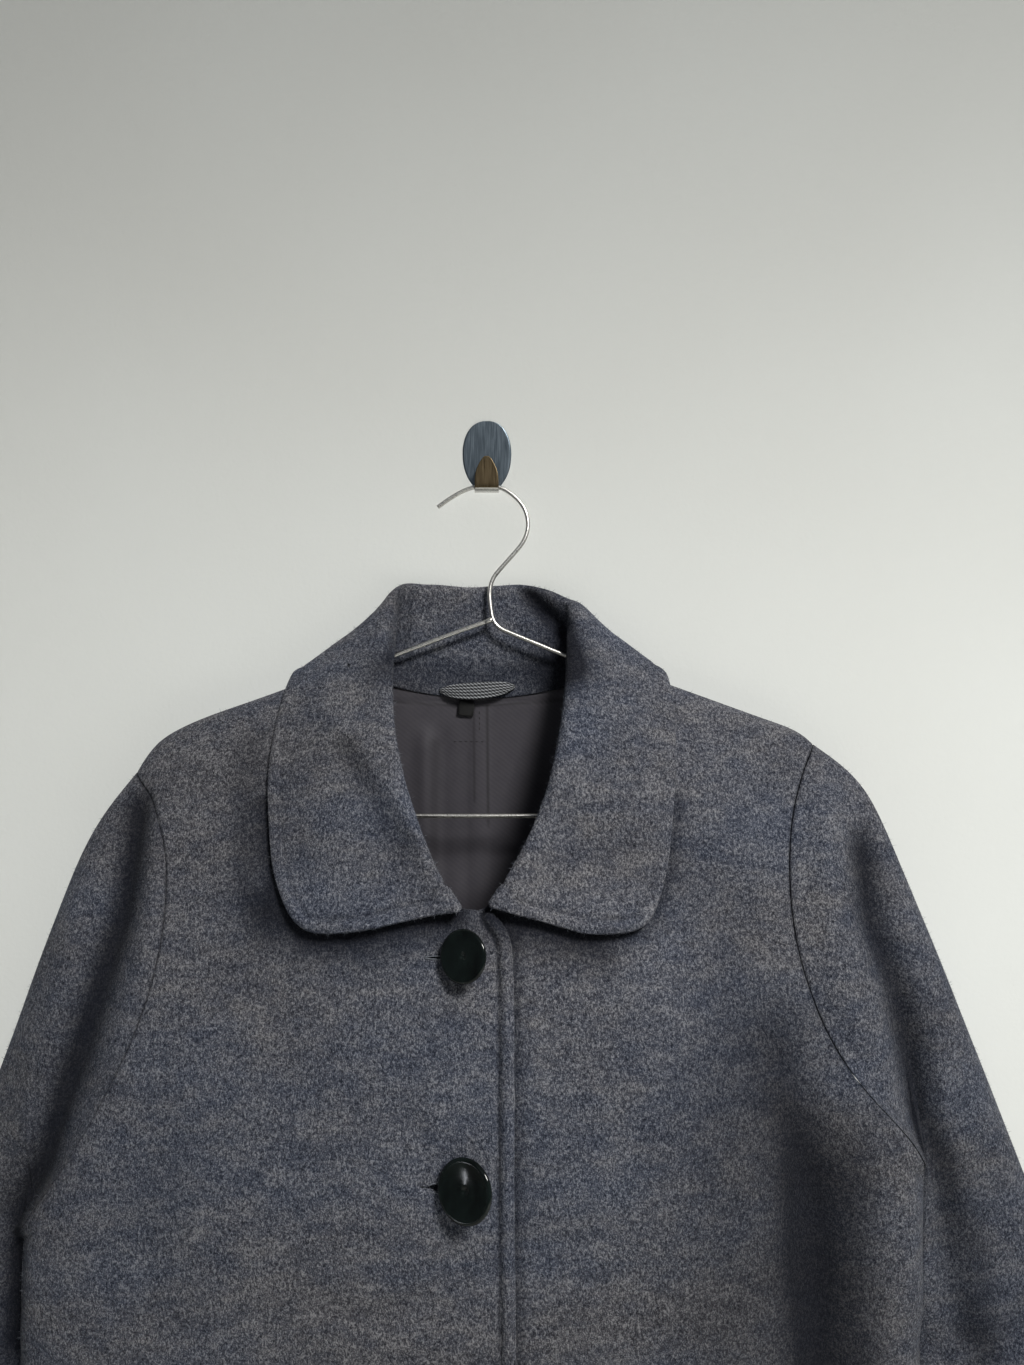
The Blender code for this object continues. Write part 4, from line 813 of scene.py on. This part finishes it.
# short stitches lying on a surface, in lines from one spot to the next
def addStitches(name, surface, look, finish):
    tree = treeOf(surface)
    bm = bmesh.new()
    for (ax, az), (bx, bz) in look["stitchLines"]:
        length = math.hypot(bx - ax, bz - az)
        way = Vector(((bx - ax) / length, 0.0, (bz - az) / length))
        step = look["stitch"] + look["gap"]
        for i in range(int(length / step) + 1):
            middle = Vector((ax, 0.0, az)) + way * (i * step + look["stitch"] / 2)
            hit = tree.ray_cast(Vector((middle.x, look["rayFrom"], middle.z)) * mm, Vector((0, 1, 0)))
            if hit[0] is None:
                continue
            new = bmesh.ops.create_icosphere(bm, subdivisions=1, radius=0.5)["verts"]
            turn = way.to_track_quat("X", "Y").to_matrix().to_4x4()
            size = Matrix.Diagonal((look["stitch"] * mm, look["thick"] * mm, look["thick"] * mm, 1.0))
            bmesh.ops.transform(bm, verts=new, matrix=Matrix.Translation(hit[0]) @ turn @ size)
    return addRound(name, bm, finish)


def addRound(name, bm, finish):
    mesh = meshOf(name, bm)
    mesh.shade_smooth()
    return addPiece(name, mesh, finish)


# a piece that is only a node's finer copy, in its own finish
def addFiner(nodeName, pieceName, edgeHold, finish):
    thing = finerCopy(nodeName, pieceName, 2, edgeHold)[0]
    dress(thing, finish)
    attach(thing, "root")
    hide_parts(nodeName)
    return thing


addStitches("liningStitches", lining, liningSewingAndShade, finishes["blackSewingThread"])
label = addFiner("neck_label", "neckLabel", 0.6, finishes["blackSatinRibbon"])

# the loop's band, between two ends where it narrows: "end" is its share of width there
loopBand = {"left": (-31.0, -160.5), "right": (19.0, -157.5), "sag": 1.5, "band": 11.0, "end": 0.45,
            "taper": 0.75, "rise": 0.2, "edge": 0.4, "edgeFrom": (0.36, 0.5)}
(leftX, leftZ), (rightX, rightZ) = loopBand["left"], loopBand["right"]


def bandPlace(x, z):
    share = (x - leftX) / (rightX - leftX)
    hump = np.clip(4.0 * share * (1.0 - share), 0.0, 1.0)
    middle = leftZ + (rightZ - leftZ) * share - loopBand["sag"] * hump
    return x - leftX, (z - middle) / (loopBand["end"] + (1.0 - loopBand["end"]) * hump ** 0.5)


def knitCourses(places, outward):
    along, across = bandPlace(places[:, 0], places[:, 2])
    narrow = 1.0 - loopBand["taper"] * (2.0 * np.abs(along / (rightX - leftX) - 0.5)) ** 3
    places = places.copy()
    places[:, 2] += across * (narrow - 1.0) * 0.5
    rows = np.cos(across * math.tau / knitLook["course"])
    places = places + outward * (loopBand["rise"] * rows)[:, None]
    low, high = (loopBand["band"] * share for share in loopBand["edgeFrom"])
    return places + outward * (loopBand["edge"] * smoothStep(low, high, np.abs(across)))[:, None]


hangLoop = clothFrom("hang_loop", "hangLoop", 3, 0.3, extra=knitCourses)
band = hangLoop.data.uv_layers.new(name="band")
for corner in hangLoop.data.loops:
    place = hangLoop.data.vertices[corner.vertex_index].co / mm
    band.data[corner.index].uv = bandPlace(place.x, place.z)
dress(hangLoop, knit)
print("inside of the neck made")

button = {
    # radius and height from the back to the dished face, with its small middle dimple
    "profile": ((0.0, 0.35), (3.0, 0.3), (10.5, 0.45), (15.5, 0.95), (17.6, 1.7), (18.45, 2.6), (18.6, 3.2),
                (18.35, 3.9), (17.6, 4.5), (16.7, 4.7), (15.6, 4.5), (13.0, 4.1), (8.0, 3.75), (4.2, 3.6),
                (2.6, 3.45), (1.7, 3.0), (0.9, 2.5), (0.0, 2.4)),
    "steps": 64,
    # the shank is thread wound between the button and the cloth under the buttonhole
    "shankRadius": 1.1, "shankLength": 13.6, "shankTurns": 8, "shankSteps": 16, "thread": 0.18, "into": 0.25,
    "tilt": 12.0, "shift": 1.0, "trim": 0.975,       # the disc sits a little to the right on its shank
}


def lathe(profile, steps, matrix):
    bm = bmesh.new()
    start = [bm.verts.new((radius * mm, 0.0, height * mm)) for radius, height in profile]
    edges = [bm.edges.new(pair) for pair in zip(start, start[1:])]
    bmesh.ops.spin(bm, geom=start + edges, cent=(0, 0, 0), axis=(0, 0, 1), angle=math.tau,
                   steps=steps, use_merge=True)
    bmesh.ops.remove_doubles(bm, verts=bm.verts, dist=1e-6)
    bmesh.ops.recalc_face_normals(bm, faces=bm.faces)
    bmesh.ops.transform(bm, verts=bm.verts, matrix=matrix)
    return bm


def rotated(degrees, axis):
    return Matrix.Rotation(math.radians(degrees), 4, axis)


length, radius, turns = button["shankLength"], button["shankRadius"], button["shankTurns"]
wound = [(radius + button["thread"] * math.cos(i * math.tau / 4),
          -length + (length + button["into"]) * i / (turns * 4)) for i in range(turns * 4 + 1)]
wound = [(0.0, -length), *wound, (0.0, button["into"])]
discs = []
for number, (spotX, spotY, spotZ, turn, size) in enumerate(buttonSpots, start=1):
    size *= button["trim"]
    # the lathe's axis points out of the wall
    centre = Matrix.Translation(Vector((spotX + button["shift"], spotY, spotZ)) * mm)
    tilted = centre @ rotated(-button["tilt"], "X") @ rotated(-turn, "Z") @ rotated(90, "X")
    profile = [(radius * size, height * size) for radius, height in button["profile"]]
    disc = addRound(f"buttonDisc{number}", lathe(profile, button["steps"], tilted),
                    finishes["castPolyesterResin"])
    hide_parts(f"button_{number}")
    discs.append(disc)
    shank = addRound(f"buttonShank{number}", lathe(wound, button["shankSteps"], centre @ rotated(90, "X")),
                     finishes["blackSewingThread"])
    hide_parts(f"button_{number}")

# each buttonhole's worked edge, a rope round the slit, laid on the cloth from near "from"
holeLips = {"reach": (-33.8, -4.8), "least": 0.5, "most": 2.1, "gape": 6.0, "radius": 0.42, "spots": 60,
            "blunt": 0.8, "steep": 3.0, "from": -106.0}
frontSurface = treeOf(frontRight)
for number, (height, openness) in enumerate(slits, start=1):
    path = bpy.data.curves.new(f"holeLips{number}", "CURVE")
    path.dimensions = "3D"
    path.bevel_depth = holeLips["radius"] * mm
    path.bevel_resolution = 1
    line = path.splines.new("POLY")
    line.points.add(holeLips["spots"] - 1)
    left, right = holeLips["reach"]
    for i, point in enumerate(line.points):
        angle = math.tau * i / holeLips["spots"]
        share = math.copysign(abs(math.cos(angle)) ** holeLips["blunt"], math.cos(angle))
        x = (left + right) / 2 + share * (right - left) / 2
        gape = float(smoothStep(left, left + holeLips["gape"], x))
        half = holeLips["least"] + (holeLips["most"] - holeLips["least"]) * gape * openness
        half *= min(1.0, abs(math.sin(angle)) * holeLips["steep"])
        z = height - float(sinkOf(x)) + math.copysign(half, math.sin(angle))
        hit = frontSurface.find_nearest(Vector((x, holeLips["from"], z)) * mm)[0]
        point.co = (x * mm, hit.y, z * mm, 1.0)
    line.use_cyclic_u = True
    rope = addThing(path.name, path)
    lips = evaluatedMesh(rope)
    bpy.data.objects.remove(rope, do_unlink=True)
    bm = bmesh.new()
    bm.from_mesh(lips)
    bmesh.ops.recalc_face_normals(bm, faces=bm.faces)
    addRound(f"buttonholeLips{number}", bm, finishes["buttonholeThread"])
print("buttons made")

hanger = addFiner("hanger", "wireHanger", 0.7, finishes["nickelPlatedWire"])
for vert in hanger.data.vertices:
    vert.co += vert.normal * 0.12 * mm         # the rounding has drawn the wire thinner

# the left arm's end is welded to the shaft
weld = {"profile": ((0.0, -3.6), (1.35, -3.4), (1.6, -1.5), (1.9, 0.8), (1.7, 2.3), (0.0, 3.0)),
        "steps": 20, "place": (2.0, -19.6, -114.0), "lean": -22.0}
turned = Matrix.Translation(Vector(weld["place"]) * mm) @ rotated(90 + weld["lean"], "Y")
addRound("hangerWeld", lathe(weld["profile"], weld["steps"], turned), finishes["nickelPlatedWire"])

hook = {
    "thick": 1.0, "backY": -1.1, "bendZ": -21.9, "bendRadius": 3.5, "bendSteps": 8,
    # z and half width down the plate, round the bend, then up the tab
    "plate": ((23.2, 2.2), (22.6, 5.2), (21.2, 8.2), (19.0, 10.9), (15.6, 13.4), (11.0, 15.4), (5.0, 16.6),
              (0.0, 16.7), (-5.0, 16.4), (-10.0, 15.4), (-14.5, 13.7), (-18.6, 11.4)),
    "bend": (8.5, 8.1),
    "tab": ((-17.0, 8.05), (-13.4, 7.6), (-9.8, 6.5), (-6.6, 4.9), (-4.0, 3.2), (-2.3, 1.5)),
    "columns": 6, "edgeAngle": 60, "hold": 0.75,
    # the tab has the painted warm reflection from this far out and this far below the bend's top; lower down
    # the bend has the bright wire finish as a painted reflection
    "tabOut": 4.6, "tabBelow": 2.2, "reflectionBelow": 1.0,
}


def makeHook():
    middle, radius, steps = hook["backY"] - hook["thick"] / 2, hook["bendRadius"], hook["bendSteps"]
    stations = [(middle, z, half) for z, half in hook["plate"]]
    first, last = hook["bend"]
    for i in range(steps + 1):
        turn = math.pi * i / steps
        stations.append((middle - radius * (1.0 - math.cos(turn)), hook["bendZ"] - radius * math.sin(turn),
                         first + (last - first) * i / steps))
    stations += [(middle - 2 * radius, z, half) for z, half in hook["tab"]]
    bm = bmesh.new()
    bmesh.ops.create_grid(bm, x_segments=hook["columns"], y_segments=len(stations) - 1, size=1.0)
    rows = sorted({round(vert.co.y, 5) for vert in bm.verts})
    for vert in bm.verts:
        y, z, half = stations[rows.index(round(vert.co.y, 5))]
        vert.co = Vector((vert.co.x * half, y, z)) * mm
    bmesh.ops.recalc_face_normals(bm, faces=bm.faces)
    bmesh.ops.solidify(bm, geom=bm.faces, thickness=hook["thick"] * mm)
    bmesh.ops.recalc_face_normals(bm, faces=bm.faces)
    hold = bm.edges.layers.float.new("crease_edge")
    for edge in bm.edges:
        if edge.calc_face_angle(0.0) > math.radians(hook["edgeAngle"]):
            edge[hold] = hook["hold"]
    return bm


plate = addRound("wallHook", makeHook(), finishes["brushedStainless"])
plate.data.materials.append(finishes["brushedStainlessPaintedReflection"])
plate.data.materials.append(finishes["nickelPlatedWire"])
# painted reflections: the bent-up tab takes the warm finish, the lower bend the bright wire finish
for face in plate.data.polygons:
    out = face.center.y < (hook["backY"] - hook["tabOut"]) * mm
    if out and face.center.z > (hook["bendZ"] - hook["tabBelow"]) * mm:
        face.material_index = 1
    elif face.center.z < (hook["bendZ"] - hook["reflectionBelow"]) * mm:
        face.material_index = 2
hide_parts("wall_hook")
rounding = plate.modifiers.new("rounding", "SUBSURF")
rounding.levels = rounding.render_levels = 2
dress(nodes["hook_pad"], finishes["foamTape"])
print("hanger and wall hook made")

# Wall, floor, light and camera, in metres
studio = {
    "wallHalf": 4.0, "floorZ": -1.55, "depth": 6.0,
    "wallPaint": ("#d6d6d3", "#dddedc"), "floorPaint": ("#d5d4cf", "#dddcd8"),
    # painted shade: wallFade and wallSide darken the paint upwards and to the left, as the room's light falls
    # off
    "wallFade": (-0.2, 0.42, 0.6),        # heights between which the wall darkens upwards, and to what
    "wallSide": (-0.45, 0.45, 0.92),      # the same from right to left
    "room": "#d7dce0", "roomStrength": 0.1,
    "lens": 27.03, "eye": (0.0171, -0.70, -0.155), "clipStart": 0.01,
}
lamps = {
    # a gridded softbox, high on the right, whose beam is for the coat; a wide one for the wall
    "key": {"place": (1.0, -1.8, 1.35), "aim": (-0.01, 0.0, -0.42), "size": 0.7, "spread": 33.0,
            "watts": 3.0, "code": "#fffdf8", "lights": "coat"},
    "fill": {"place": (-0.7, -2.1, 1.1), "aim": (0.0, 0.0, -0.45), "size": 1.3, "watts": 1.5,
             "code": "#eef3ff", "lights": "coat"},
    "wash": {"place": (1.1, -2.6, -0.3), "aim": (0.1, 0.0, -0.3), "size": 2.4, "watts": 88.0,
             "code": "#fefffb", "lights": "ground"},
    "rear": {"place": (0.4, 2.2, 0.4), "aim": (0.0, 0.0, -0.5), "size": 2.0, "watts": 30.0,
             "code": "#ffffff", "lights": "all"},
    # a narrow strip on the left, mirrored by the buttons as a short stroke
    "strip": {"place": (-1.02, -0.68, -0.73), "aim": (-0.01, -0.11, -0.44), "size": 0.014, "tall": 0.12,
              "watts": 0.13, "code": "#f4f8ff", "lights": "buttons"},
}


# Wall paint: rolled matt emulsion, so fine soft pimples 2 to 4 mm apart
def makePaint(name, dark, pale, seenThrough):
    made, tree, shader = newMaterial(name)
    place = addNode(tree, "TexCoord").outputs["Object"]
    stipple = addNode(tree, "TexNoise", {"Scale": 260.0, "Detail": 3.0, "Roughness": 0.55}, {"Vector": place})
    slow = addNode(tree, "TexNoise", {"Scale": 2.5, "Detail": 2.0}, {"Vector": place})
    colour = addNode(tree, "ValToRGB", {"ramp": ((0.3, dark), (0.7, pale))}, {0: slow})
    parts = addNode(tree, "SeparateXYZ", {}, {0: place})
    # painted shade: the colour darkens upwards and to the left, where the room's light falls off
    low, high, least = studio["wallFade"]
    upward = addNode(tree, "MapRange",
                     {"interpolation_type": "SMOOTHSTEP", 1: low, 2: high, 3: 1.0, 4: least},
                     {0: parts.outputs[2]})
    left, right, least = studio["wallSide"]
    sideways = addNode(tree, "MapRange", {1: left, 2: right, 3: least, 4: 1.0}, {0: parts})
    paintedLightFalloff = addNode(tree, "Math", {"operation": "MULTIPLY"}, {0: upward, 1: sideways})
    faded = addNode(tree, "Mix", {"data_type": "RGBA", 6: linear("#000000")}, {0: paintedLightFalloff, 7: colour})
    finishShader(tree, shader, faded.outputs[2], stipple, 0.35, 0.6, {"Roughness": 0.75})
    if seenThrough:         # from behind, the wall doesn't hide the coat
        side = addNode(tree, "NewGeometry").outputs["Backfacing"]
        clear = addNode(tree, "BsdfTransparent")
        either = addNode(tree, "MixShader", {}, {0: side, 1: shader, 2: clear})
        out = next(node for node in tree.nodes if node.type == "OUTPUT_MATERIAL")
        tree.links.new(either.outputs[0], out.inputs["Surface"])
    return made


def addGround(name, corners, finish):
    bm = bmesh.new()
    bm.faces.new([bm.verts.new(corner) for corner in corners])
    thing = addThing(name, meshOf(name, bm))
    dress(thing, finish)
    return thing


half, low, depth = studio["wallHalf"], studio["floorZ"], studio["depth"]
wall = addGround("wall", ((-half, 0.0, low), (half, 0.0, low), (half, 0.0, half), (-half, 0.0, half)),
                 makePaint("mattEmulsionWall", *studio["wallPaint"], True))
wall.visible_shadow = False
floor = addGround("floor", ((-half, -depth, low), (half, -depth, low), (half, 0.0, low), (-half, 0.0, low)),
                  makePaint("mattFloor", *studio["floorPaint"], False))


def linkGroup(name, members, state):
    group = bpy.data.collections.new(name)
    for member in members:
        group.objects.link(member)
    for item in group.collection_objects:
        item.light_linking.link_state = state
    return group


onlyGround = linkGroup("onlyGround", (wall, floor), "INCLUDE")
notGround = linkGroup("notGround", (wall, floor), "EXCLUDE")
onlyButtons = linkGroup("onlyButtons", discs, "INCLUDE")
receivers = {"coat": notGround, "buttons": onlyButtons, "ground": onlyGround}
for name, look in lamps.items():
    lamp = bpy.data.lights.new(name, "AREA")
    lamp.shape = "RECTANGLE"
    lamp.size = look["size"]
    lamp.size_y = look.get("tall", look["size"])
    lamp.energy = look["watts"]
    lamp.spread = math.radians(look.get("spread", 180.0))
    lamp.color = linear(look["code"])[:3]
    holder = addThing(name, lamp)
    holder.location = look["place"]
    holder.rotation_euler = (Vector(look["aim"]) - holder.location).to_track_quat("-Z", "Y").to_euler()
    if look["lights"] in receivers:
        holder.light_linking.receiver_collection = receivers[look["lights"]]
    if look["lights"] == "ground":            # so soft in the real room that the coat throws no shadow
        holder.light_linking.blocker_collection = onlyGround

room = bpy.data.worlds.new("room")
room.use_nodes = True
background = room.node_tree.nodes["Background"]
background.inputs["Color"].default_value = linear(studio["room"])
background.inputs["Strength"].default_value = studio["roomStrength"]
bpy.context.scene.world = room
bpy.context.scene.view_settings.view_transform = "Standard"

camera = bpy.data.cameras.new("camera")
camera.lens = studio["lens"]
camera.clip_start = studio["clipStart"]
eye = addThing("camera", camera)
eye.location = studio["eye"]
eye.rotation_euler = (math.radians(90), 0.0, 0.0)
bpy.context.scene.camera = eye
print("studio made")
